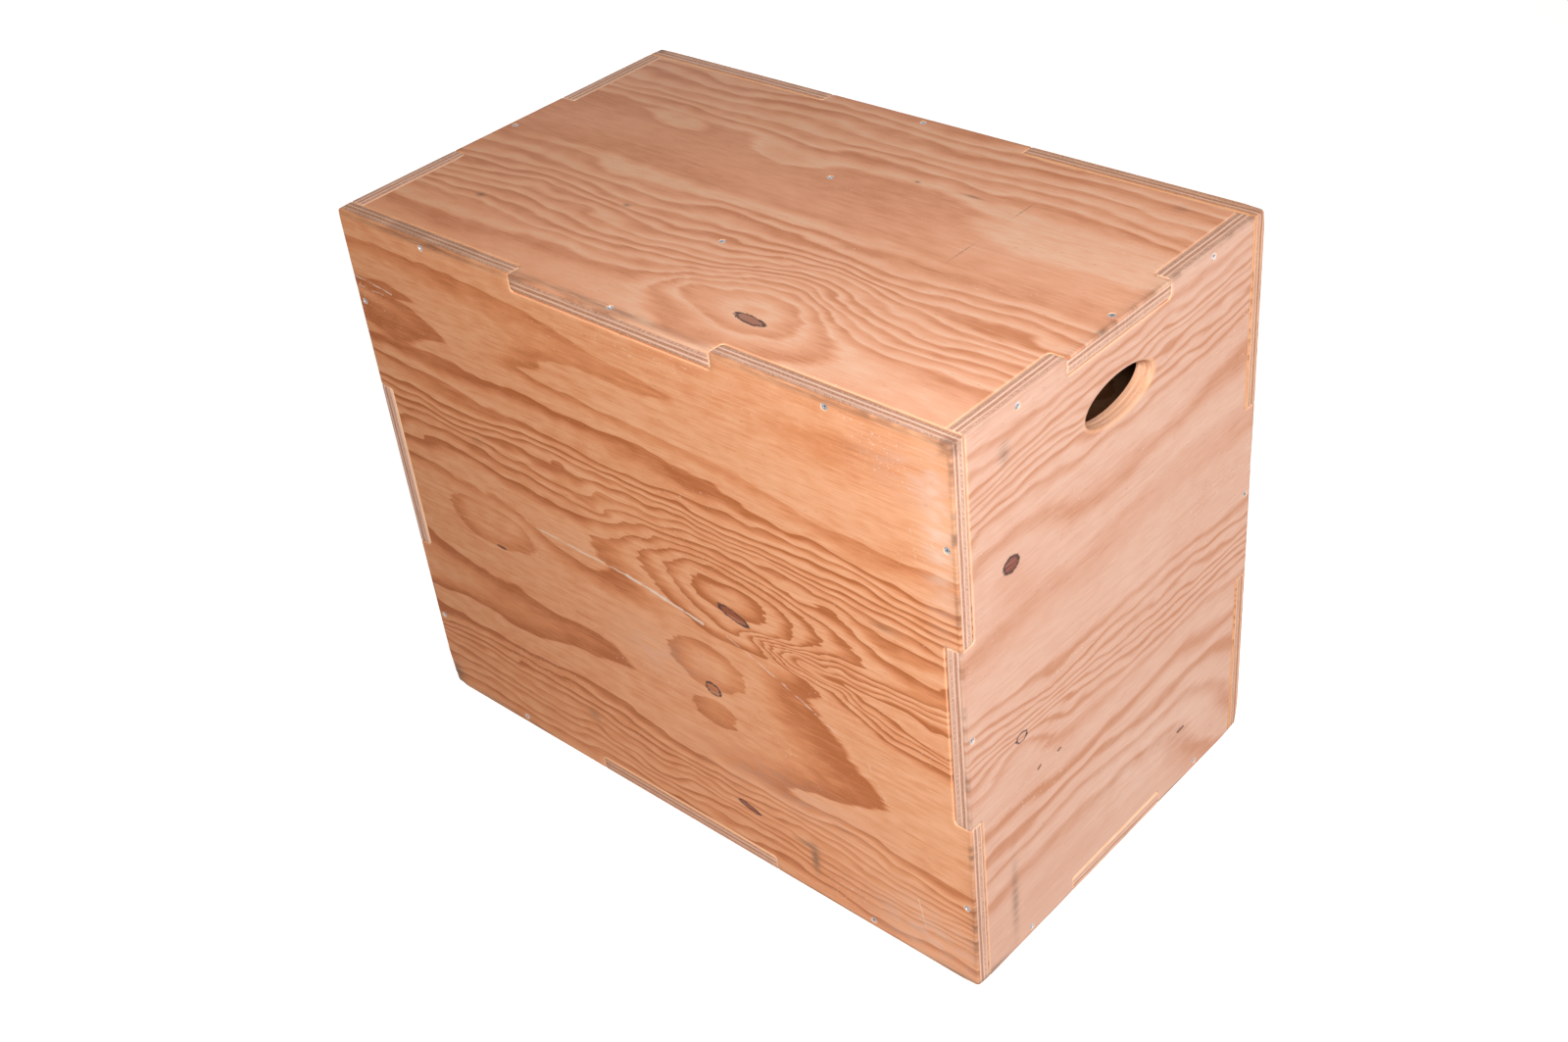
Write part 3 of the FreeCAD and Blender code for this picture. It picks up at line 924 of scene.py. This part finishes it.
# %% The clean veneer
Spot = namedtuple("Spot", "u v length width amount")
Grain = namedtuple("Grain", "threads streaks patches mottle specks")
Figure = namedtuple(
    "Figure",
    "seed base swing slip early edge contrast aged pale middle deep "
    "crowds swells flames tongues fans calms knots smears rubs strokes",
    defaults=[()] * 10,
)


def grain_of(u, v, seed):
    """Noises of one sheet of veneer."""
    return Grain(
        threads=fibre(u, v, seed + 11, 30, 0.8, 3),
        streaks=fibre(u, v, seed + 13, 150, 4, 3),
        patches=fibre(u, v, seed + 17, 170, 80, 3),
        mottle=fibre(u, v, seed + 29, 26, 11, 3),
        specks=fibre(u, v, seed + 19, 7, 1.3),
    )


def clean_veneer(u, v, figure, grain):
    """Colour of a veneer with its rings and its grain."""
    start = grain.streaks * 0.7 + grain.patches * 0.8 - 0.75 + figure.early
    late = late_wood(rings(u, v, figure), start, figure.edge) * (grain.patches * 0.6 + 0.6)
    for calm in figure.calms:
        late = late * (1 - hill(u, v, calm) * calm.amount)
    tone = late * 0.8 + (grain.threads - 0.5) * 0.9
    tone = tone + (grain.streaks + grain.patches + grain.mottle - 1.5) * 0.5
    tone = tone * figure.contrast + 0.14
    veneer = tone.between(-0.1, 0.42).blend(figure.pale, figure.middle)
    return tone.between(0.3, 0.95).blend(veneer, figure.deep)


print("settings of a figure:", len(Figure._fields))

# %% [markdown]
# ## Marks on the veneer
# The marks are laid on one after another: torn pores, pale ticks and rubs where the varnish has gone, knots,
# and last the scratches. Each is a mask that blends in one colour, and a knot has a second one for its rim.
# Pores, knots and cracks also lower the surface a little, which the bump shows.

# %% The marked veneer
SCUFF, TORN, KNOT_BODY, KNOT_RIM = tint(252, 232, 218), tint(88, 50, 34), tint(118, 50, 38), tint(64, 36, 30)


def marked_veneer(u, v, figure, grain):
    """Colour of a veneer with all its marks, and its relief."""
    pores = grain.specks.between(0.66, 0.8)
    height = grain.threads * 0.4 - pores
    veneer = (pores * 0.5).blend(clean_veneer(u, v, figure, grain), TORN)
    ticks = fibre(u, v, figure.seed + 37, 3.5, 2.5) * 0.7 + grain.patches * 0.3
    veneer = (ticks.between(0.64, 0.7) * 0.5).blend(veneer, SCUFF)
    for rub in figure.rubs:
        bare = hill(u, v, rub) * rub.amount * grain.mottle.between(0.25, 0.7)
        veneer = bare.blend(veneer, SCUFF)
    ragged = fibre(u, v, figure.seed + 23, 5, 3)
    for knot in figure.knots:
        gap = knot_distance(u, v, knot, ragged)
        body = gap.between(1.15, 0.85) * (grain.threads + 0.4) * knot.dark
        crack = abs(gap - 0.95).between(0.24, 0.06) * grain.specks.between(0.3, 0.5)
        veneer = crack.blend(body.blend(veneer, KNOT_BODY), KNOT_RIM)
        height = height - gap.between(1.2, 0.7) * 0.5 - crack * 0.8
    broken = fibre(u, v, figure.seed + 31, 14, 6, 3)
    for stroke in figure.strokes:
        gap = stroke_distance(u, v + (grain.mottle - 0.5) * 6, stroke)
        whole = broken.between(0.62 - 0.4 * stroke.show, 0.72 - 0.3 * stroke.show)
        veneer = (gap.between(1.0, 0.2) * whole * stroke.show).blend(veneer, SCUFF)
    return veneer, height


PLAIN = Figure(0, 0, 0, 0, 0, 0.1, 1, 0, SCUFF, SCUFF, TORN)
print("nodes for a plain sheet:", nodes_of(
    lambda u, v, depth: marked_veneer(u, v, PLAIN, grain_of(u, v, PLAIN.seed))))

# %% [markdown]
# ## Edges, dirt, painted shade and painted light
# Arrises are rubbed pale where the varnish has gone, a pale band that is partly a painted highlight, and
# grey with dirt beside that. Distances from the outside of the box find them: the middle one of the three
# is small along an edge, and the largest one is small at a corner. The wall of the hand-hole is bare wood,
# the inner faces are painted dark as shade inside the box, and a multiplied tint paints warm light more
# towards one end.

# %% Wear, painted shade and painted light on the wood
BARE_EDGE_AND_HIGHLIGHT, GRIME, RAW, SMEAR = tint(253, 209, 168), tint(104, 76, 60), tint(240, 182, 142), tint(104, 80, 68)
INSIDE_SHADE, WARM_LIGHT_TINT = tint(96, 66, 46), tint(236, 224, 206)


def grip_distance(u, v):
    """Distance from the middle of the hand-hole, 1 at its outline."""
    du = u / (GRIP_WIDTH * MM / 2)
    dv = (v - (HALF.z - GRIP_DROP) * MM) / (GRIP_HEIGHT * MM / 2)
    return (du * du + dv * dv) ** 0.5


def wear_and_painted_light(wood, place, faces, figure, grain, dirt, board):
    """Wood with its smears, pale arrises that are partly a painted highlight, grime, painted shade inside
    and painted warm light.
    """
    u, v, depth = place
    face_u, face_v, face_out = faces
    half_u, half_v = board.half_u * MM, board.half_v * MM
    for smear in figure.smears:
        soiled = hill(u, v, smear) * smear.amount * grain.threads.between(0.25, 0.6)
        wood = soiled.blend(wood, SMEAR)
    to_u, to_v = half_u - abs(u), half_v - abs(v)
    arris = depth.least(to_u).most(depth.most(to_u).least(to_v))
    corner = depth.most(to_u).most(to_v)
    # Painted shade: the inner faces, which lie in shade inside the box, are darkened to a dim brown.
    dim = depth.between(PLY * MM - 0.6, PLY * MM - 0.2) * face_out * 0.75
    wood = dim.blend(wood, INSIDE_SHADE)
    eased = face_u.most(face_v).most(face_out).between(0.99, 0.9)
    # Pale eased edges: partly bare wood where the varnish has gone, partly a painted highlight.
    bare_edge_and_highlight = eased * arris.between(2, 5) * (grain.threads * 0.4 + 0.5)
    if board is END:
        rim = grip_distance(u, v)
        bare_edge_and_highlight = bare_edge_and_highlight * rim.between(1.2, 1.3)
        bare = rim.between(1.15, 1.05) * (grain.streaks.between(0.2, 0.6) * 0.4 + 0.3)
        wood = bare.blend(wood, RAW)
    wood = bare_edge_and_highlight.blend(wood, BARE_EDGE_AND_HIGHLIGHT)
    soiled = dirt.between(0.46, 0.64) * grain.mottle.between(0.3, 0.65) * 0.7 + 0.08
    wood = (arris.between(6, 0) * soiled).blend(wood, GRIME)
    wood = (corner.between(16, 4) * dirt.between(0.4, 0.7) * 0.6).blend(wood, TORN)
    # Painted light: a warm tint that grows towards one end stands in for warm fill light.
    warm_light_share = u.between(half_u, -half_u) * figure.aged
    return warm_light_share.blend(wood, WARM_LIGHT_TINT, "MULTIPLY")


print("nodes for the hand-hole's outline:", nodes_of(lambda u, v, depth: grip_distance(u, v)))

# %% [markdown]
# ## The whole finish of a board
# The veneer lies on the layers, and the wear, the painted shade and the painted light lie over both. What
# varies feeds only the colour, the roughness and the bump, which an export can bake. The shine itself is one
# number for the whole board: old satin varnish.

# %% The plywood finish
SATIN = 0.35
RELIEF_STRENGTH, RELIEF_HEIGHT = 0.5, 0.0004


def plywood(name, stand, board, figure):
    """Finish of one board, from its veneer's figure."""
    material, shader = new_finish(name)
    shader.inputs["Specular IOR Level"].default_value = SATIN
    u, v, depth = on_board(material.node_tree, standing(stand))
    faces = facing(material.node_tree, standing(stand))
    grain = grain_of(u, v, figure.seed)
    veneer, height = marked_veneer(u, v, figure, grain)
    core, relief, inside = layers(u, v, depth, faces[0], faces[1])
    dirt = fibre(u, v, depth / 30, 110, 70, 5)
    wood = wear_and_painted_light(inside.blend(veneer, core), (u, v, depth), faces, figure, grain, dirt, board)
    wood.into(shader, "Base Color")
    rough = grain.threads * 0.16 + dirt * 0.18 + inside * 0.15 + 0.48
    rough.into(shader, "Roughness")
    relief = height + (relief - height) * inside
    bump = {"Strength": RELIEF_STRENGTH, "Distance": RELIEF_HEIGHT, "Height": relief}
    relief.node("Bump", {}, bump).into(shader, "Normal")
    return material


trial = plywood("trial", BOARDS["front"], BROAD, PLAIN)
print("nodes for a plain board:", len(trial.node_tree.nodes))
bpy.data.materials.remove(trial)

# %% [markdown]
# ## Figure of the front
# No two sheets of veneer are alike. The next figures were read off the boards: where lines crowd,
# where the wood swells into an eye or sinks into a flame, where lines fan out from a knot, and where there
# are smears, rubs and scratches. All distances are in millimetres from the middle of the board. The front
# has an eye over a knot, from which lines fan out, a large dark tongue and a long pale scratch.

# %% Figure of the front
FIGURES = {"front": Figure(
    seed=2.0, base=0.25, swing=0.4, slip=0.6, early=0.3, edge=0.05, contrast=1.0, aged=0.65,
    pale=tint(247, 184, 142), middle=tint(229, 150, 101), deep=tint(186, 105, 54),
    crowds=[Crowd(-236, 66, 10, 0), Crowd(106, 80, 9, 0)],
    swells=[Swell(108, 44, 112, 58, -4.2), Swell(74, -62, 52, 28, -1.0), Swell(-236, -14, 58, 26, -1.2),
            Swell(280, 262, 130, 34, 0.3)],
    flames=[Swell(-322, 208, 115, 32, -0.48), Swell(-196, 220, 50, 18, -0.45),
            Swell(70, -122, 34, 15, -0.4)],
    tongues=[Tongue(395, -115, 235, 85, 350, -1), Tongue(155, -122, 187, 33, 600, -1),
             Tongue(455, 172, 134, 20, 600, -1), Tongue(311, 240, 150, 22, 700, -1)],
    fans=[Fan(104, 6, 3.5, 0.1, -0.06, 4.2)],
    calms=[Spot(-236, -14, 95, 48, 0.8), Spot(80, -64, 66, 40, 0.6), Spot(-40, 244, 190, 46, 0.4),
           Spot(180, 186, 170, 40, 0.45), Spot(270, -240, 200, 60, 0.45), Spot(-200, -250, 220, 60, 0.4),
           Spot(70, -120, 44, 26, 0.5), Spot(-120, -120, 150, 40, 0.25), Spot(-335, 206, 110, 42, 0.45),
           Spot(0, 56, 110, 60, 0.3)],
    knots=[Knot(112.7, 18.6, 19, 5.5, -14, 0.7), Knot(69.8, -92.3, 10, 7, -12, 0.5),
           Knot(97.5, -233.8, 15, 3.5, -12, 0.9), Knot(-230.2, -47.5, 7, 1.8, 0, 0.9)],
    smears=[Spot(183.5, -255, 5, 16, 0.9), Spot(176, -240, 14, 4, 0.7), Spot(300.8, 90.5, 16, 4, 0.5),
            Spot(-128, -228, 10, 8, 0.4), Spot(-230, 84, 9, 4, 0.35), Spot(-260, 302, 105, 3.5, 0.7),
            Spot(250, 302, 90, 3, 0.4), Spot(379, 165, 2, 55, 0.25), Spot(381, -200, 9, 90, 0.18),
            Spot(-374, -292, 11, 19, 1.0), Spot(-300, -301, 60, 4, 0.5), Spot(362, -302, 36, 4, 0.7),
            Spot(190, -303, 170, 2, 0.6)],
    rubs=[Spot(345, 262, 50, 26, 0.3), Spot(-10, -80, 60, 34, 0.2), Spot(150, -180, 110, 26, 0.18),
          Spot(320, -268, 70, 40, 0.35), Spot(364, 205, 15, 75, 0.5)],
    strokes=[Stroke(-161, 5, -31, 2, 1.6, 0.8), Stroke(-31, 2, 20, -4, 3.2, 0.9),
             Stroke(20, -4, 69, -11, 2.4, 0.8), Stroke(100, -12, 150, -30, 1.1, 0.5),
             Stroke(150, -30, 206, -54, 1.6, 0.6), Stroke(206, -54, 268, -84, 1.0, 0.4),
             Stroke(264, -80, 284, -120, 1.0, 0.45), Stroke(-381, 232, -322, 226, 1.4, 0.7),
             Stroke(-376, 221, -336, 221, 0.9, 0.6), Stroke(334, 216, 340, 176, 0.7, 0.4),
             Stroke(350, 214, 366, 186, 0.7, 0.4), Stroke(314, -228, 321, -262, 0.9, 0.7)],
)}
print("front:", len(FIGURES["front"].knots), "knots and", len(FIGURES["front"].strokes), "strokes")

# %% [markdown]
# ## Figure of the right end
# This sheet is paler and pinker than the front, with softer lines, one red knot near the front edge and a
# faint one below it. Its lines crowd round the hand-hole and again below the middle.

# %% Figure of the right end
FIGURES["right_end"] = Figure(
    seed=23.0, base=0.3, swing=0.6, slip=0.7, early=0.3, edge=0.26, contrast=0.85, aged=0,
    pale=tint(230, 187, 165), middle=tint(219, 166, 141), deep=tint(202, 138, 104),
    crowds=[Crowd(243, 56, 8, 0.03), Crowd(120, 90, 2, 0.04), Crowd(-45, 66, 8, -0.04),
            Crowd(-170, 72, 3.9, 0)],
    swells=[Swell(-156, 150, 70, 34, -0.9), Swell(-150, -48, 60, 34, -2.0), Swell(245, -236, 105, 66, 1.9)],
    calms=[Spot(70, 100, 150, 80, 0.5), Spot(20, -45, 60, 50, 0.3), Spot(-150, 150, 70, 44, 0.6)],
    knots=[Knot(-158, 149.5, 10.5, 8, 0, 1), Knot(-151, -46, 8, 5.5, 0, 0.1),
           Knot(-126, -101, 3, 1.5, 20, 0.8), Knot(-95, -102, 3, 1.5, 0, 0.8),
           Knot(114, -231, 6, 2, 0, 0.8)],
    smears=[Spot(-168, -235, 5, 45, 0.6), Spot(-163, 262, 7, 10, 0.6), Spot(-208, -301, 26, 5, 0.7),
            Spot(-60, -304, 120, 2, 0.5)],
    rubs=[Spot(50, -225, 150, 70, 0.3)],
)
print("right end:", len(FIGURES["right_end"].knots), "knots")

# %% [markdown]
# ## Figure of the top
# Here late wood covers most of each ring, so the lines between are thin and pale. There is an eye over a
# long knot near the front, and a painted warm light tints the sheet more towards the left.

# %% Figure of the top
FIGURES["top"] = Figure(
    seed=41.0, base=0.3, swing=0.6, slip=0.6, early=0.0, edge=0.24, contrast=0.76, aged=0.95,
    pale=tint(253, 206, 176), middle=tint(243, 175, 139), deep=tint(207, 132, 90),
    crowds=[Crowd(-98, 96, 9.3, 0.02), Crowd(140, 50, 4, 0), Crowd(204, 30, 2, 0.02)],
    swells=[Swell(112, -140, 84, 56, -3.4), Swell(34, -152, 30, 24, -1.1), Swell(-60, -12, 420, 16, 0.5)],
    flames=[Swell(-230, 92, 55, 13, 0.5), Swell(-70, 94, 55, 13, 0.5), Swell(290, 76, 140, 40, 0.5)],
    calms=[Spot(0, 40, 460, 42, 0.3), Spot(300, 40, 160, 70, 0.4)],
    knots=[Knot(119.8, -168.9, 18, 5.5, -6, 0.8)],
    smears=[Spot(-276, -131, 5, 3.5, 0.9), Spot(-131, -71, 4, 3, 0.8), Spot(143, 113, 11, 2, 0.8),
            Spot(79, 111, 3, 2, 0.8), Spot(200, 115, 0.8, 14, 0.7), Spot(200, 22, 0.8, 16, 0.7),
            Spot(318, 190, 8, 5, 0.4), Spot(10, -221, 110, 4, 0.55), Spot(-200, -222, 150, 3, 0.4),
            Spot(381, 0, 10, 90, 0.22)],
)
print("top:", len(FIGURES["top"].knots), "knot and", len(FIGURES["top"].smears), "smears")

# %% [markdown]
# ## Figures of the other sides
# The sides that don't show are given figures of the same kind. Each starts from the sheet of the board
# opposite and changes what would give the repeat away: its seed, its crowds, its eye and its knots. The
# brace takes the bottom's sheet with another seed and no knots.

# %% Figures of the sides that don't show
FIGURES["back"] = FIGURES["front"]._replace(
    seed=67.0, crowds=[Crowd(-120, 80, 10, 0.02), Crowd(210, 66, 6, 0)],
    fans=[Fan(-118, 26, 4, 0.09, 0.05, 3)], flames=[Swell(-60, -220, 160, 40, 0.6)],
    swells=[Swell(-140, 60, 90, 50, -4), Swell(200, 20, 120, 60, -1.4)],
    tongues=[Tongue(330, 110, 200, 40, 420, -1)], calms=[], rubs=[Spot(-300, 250, 60, 30, 0.3)],
    knots=[Knot(-132, 30, 14, 6, 10, 0.7), Knot(214, -96, 8, 6, -8, 0.8)], smears=[], strokes=[],
)
FIGURES["left_end"] = FIGURES["right_end"]._replace(
    seed=83.0, crowds=[Crowd(120, 80, 8, 0.04), Crowd(-200, 66, 7, 0)], smears=[],
    calms=[Spot(-60, -40, 160, 60, 0.5)], knots=[Knot(76, -16, 9, 6, 8, 0.9)],
    swells=[Swell(70, 0, 70, 40, -2.6)], flames=[Swell(-120, 200, 90, 40, 0.5)],
)
FIGURES["bottom"] = FIGURES["top"]._replace(
    seed=101.0, crowds=[Crowd(60, 80, 9, 0)], smears=[], knots=[Knot(-140, -104, 12, 5, 4, 0.8)],
    swells=[Swell(-150, -80, 100, 44, -3)], flames=[Swell(200, 20, 140, 40, 0.6)],
)
FIGURES["brace"] = FIGURES["bottom"]._replace(seed=131.0, knots=[])
print("figures:", ", ".join(FIGURES))

# %% [markdown]
# ## Varnishing the boards
# Each board takes the finish of its own figure. One shared material would be lighter, but then every board
# would show the same sheet.

# %% Give each board its finish
Sheet = namedtuple("Sheet", "half_u half_v")
for title, figure in FIGURES.items():
    stand = BRACE if title == "brace" else BOARDS[title]
    board = stand.blank or Sheet(HALF.y, HALF.z)
    finish = plywood(title + " plywood", stand, board, figure)
    pieces[title].data.materials.append(finish)
    print(title, "finish:", len(finish.node_tree.nodes), "nodes")

# %% [markdown]
# ## Zinc-plated steel
# The heads are dull, bluish zinc, and the cross in each head is painted dark as shade in its recess. How
# deep a point lies under the board's face tells the cross from the crown, so nothing has to be painted by
# hand.

# %% The screw finish
ZINC, DULL, RECESS_SHADE = tint(186, 188, 198), tint(146, 144, 146), tint(60, 48, 40)
BARE_METAL = 0.9
MARK_STRENGTH, MARK_HEIGHT = 0.3, 0.0001


def zinc(name, stand):
    """Finish of the screws of one board."""
    material, shader = new_finish(name)
    shader.inputs["Metallic"].default_value = BARE_METAL
    u, v, depth = on_board(material.node_tree, standing(stand))
    cloud = fibre(u, v, depth, 3, 3, 3)
    # Painted shade: the cross is darkened where it sinks into the head.
    cross_shade = depth.between(0.7, 1.3)
    metal = cross_shade.blend(cloud.between(0.3, 0.7).blend(ZINC, DULL), RECESS_SHADE)
    metal.into(shader, "Base Color")
    rough = cloud * 0.3 + cross_shade * 0.3 + 0.24
    rough.into(shader, "Roughness")
    marks = fibre(u, v, depth, 0.8, 0.3)
    bump = {"Strength": MARK_STRENGTH, "Distance": MARK_HEIGHT, "Height": marks}
    marks.node("Bump", {}, bump).into(shader, "Normal")
    return material


for title, stand in BOARDS.items():
    pieces[title + "_screws"].data.materials.append(zinc(title + " zinc", stand))
print("screw finishes:", len(BOARDS))

# %% [markdown]
# ## Camera
# The camera stands where the photograph was taken, found from the corners of the box, and looks down on it
# from the right. Its matrix is put together from the way it looks and the way up.

# %% Place the camera
CAMERA_PLACE = Vector((1.14471, -1.15740, 1.41062))
LOOK = Vector((-0.58276, 0.56933, -0.57988))
LOOK_UP = Vector((-0.33098, 0.48541, 0.80921))
LENS, SENSOR = 43.875, 36

scene = bpy.context.scene
scene.view_settings.view_transform = "Standard"
camera = bpy.data.objects.new("camera", bpy.data.cameras.new("camera"))
camera.data.lens, camera.data.sensor_width, camera.data.sensor_fit = LENS, SENSOR, "HORIZONTAL"
aim = Matrix((LOOK.cross(LOOK_UP), LOOK_UP, -LOOK)).transposed().to_4x4()
camera.matrix_world = Matrix.Translation(CAMERA_PLACE) @ aim
scene.collection.objects.link(camera)
scene.camera = camera
print("camera stands", round((CAMERA_PLACE - MIDDLE).length, 2), "m from the middle of the box")

# %% [markdown]
# ## White floor
# The photograph has a white ground. A floor bright enough to look white by its lamps alone would throw that
# light up on the box, so this paper is grey to the light and glows only for rays that reach the lens. It
# lies a hair under the box, because two faces in one plane flicker.

# %% Lay the floor
FLOOR_HALF, FLOOR_GAP = 6, 0.0003
GLOW, PAPER, MATT = 0.84, tint(190, 190, 190), 0.9
BLACK, WHITE = (0, 0, 0, 1), (1, 1, 1, 1)

floor_shape = bmesh.new()
bmesh.ops.create_grid(floor_shape, x_segments=1, y_segments=1, size=FLOOR_HALF)
bmesh.ops.translate(floor_shape, vec=(0, 0, cad_low.z - FLOOR_GAP), verts=floor_shape.verts[:])
floor_mesh = bpy.data.meshes.new("floor")
floor_shape.to_mesh(floor_mesh)
floor_shape.free()
floor = bpy.data.objects.new("floor", floor_mesh)
scene.collection.objects.link(floor)


def seen(tree):
    """1 for rays that reach the lens directly, by a mirror or through glass, and 0 for other rays."""
    kinds = ("Is Camera Ray", "Is Glossy Ray", "Is Transmission Ray")
    straight, mirrored, through = [Wire(tree).node("LightPath", {}, {}, kind) for kind in kinds]
    return straight.most(mirrored).most(through)


paper, surface = new_finish("white paper")
surface.inputs["Base Color"].default_value = PAPER
surface.inputs["Roughness"].default_value = MATT
surface.inputs["Specular IOR Level"].default_value = 0
surface.inputs["Emission Strength"].default_value = GLOW
seen(paper.node_tree).blend(BLACK, WHITE).into(surface, "Emission Color")
floor.data.materials.append(paper)
print("floor of", 2 * FLOOR_HALF, "m,", round(MM * FLOOR_GAP, 1), "mm under the box")

# %% [markdown]
# ## Light
# The photograph was lit by a flash beside the camera, so the strongest lamp stands there. A weak one at the
# right, like a window, lights the lower part of the right end, and one far behind keeps the back and the
# left end readable and hardly touches the sides that the photograph shows. The world is white to the lens,
# and only a dim, warm fill to the box.

# %% Light the box
Lamp = namedtuple("Lamp", "place target power size")
FILL = (0.100, 0.082, 0.058, 1)
LAMPS = {
    "flash": Lamp(Vector((1.28, -1.20, 1.66)), Vector((0.1, -0.05, 0.35)), 48.5, 0.35),
    "window": Lamp(Vector((1.40, 0.95, 0.22)), Vector((0.38, 0.15, 0.10)), 8, 0.8),
    "bounce": Lamp(Vector((-2.60, 2.30, 0.60)), Vector((-0.2, 0.1, 0.3)), 44, 1.2),
}
for title, light in LAMPS.items():
    lamp = bpy.data.objects.new(title, bpy.data.lights.new(title, "AREA"))
    lamp.data.energy, lamp.data.size = light.power, light.size
    away = light.place - light.target
    lamp.matrix_world = Matrix.Translation(light.place) @ away.to_track_quat("Z", "Y").to_matrix().to_4x4()
    scene.collection.objects.link(lamp)
    print(title, "stands", round(away.length, 2), "m away")

world = bpy.data.worlds.new("white studio")
scene.world = world
world.use_nodes = True
sky = Wire(world.node_tree)
dim = sky.node("Background", {}, {"Color": FILL})
white = sky.node("Background", {}, {"Color": WHITE})
studio = sky.node("MixShader", {}, {0: seen(world.node_tree), 1: dim, 2: white})
studio.into(world.node_tree.nodes["World Output"], "Surface")
print("world nodes:", len(world.node_tree.nodes))
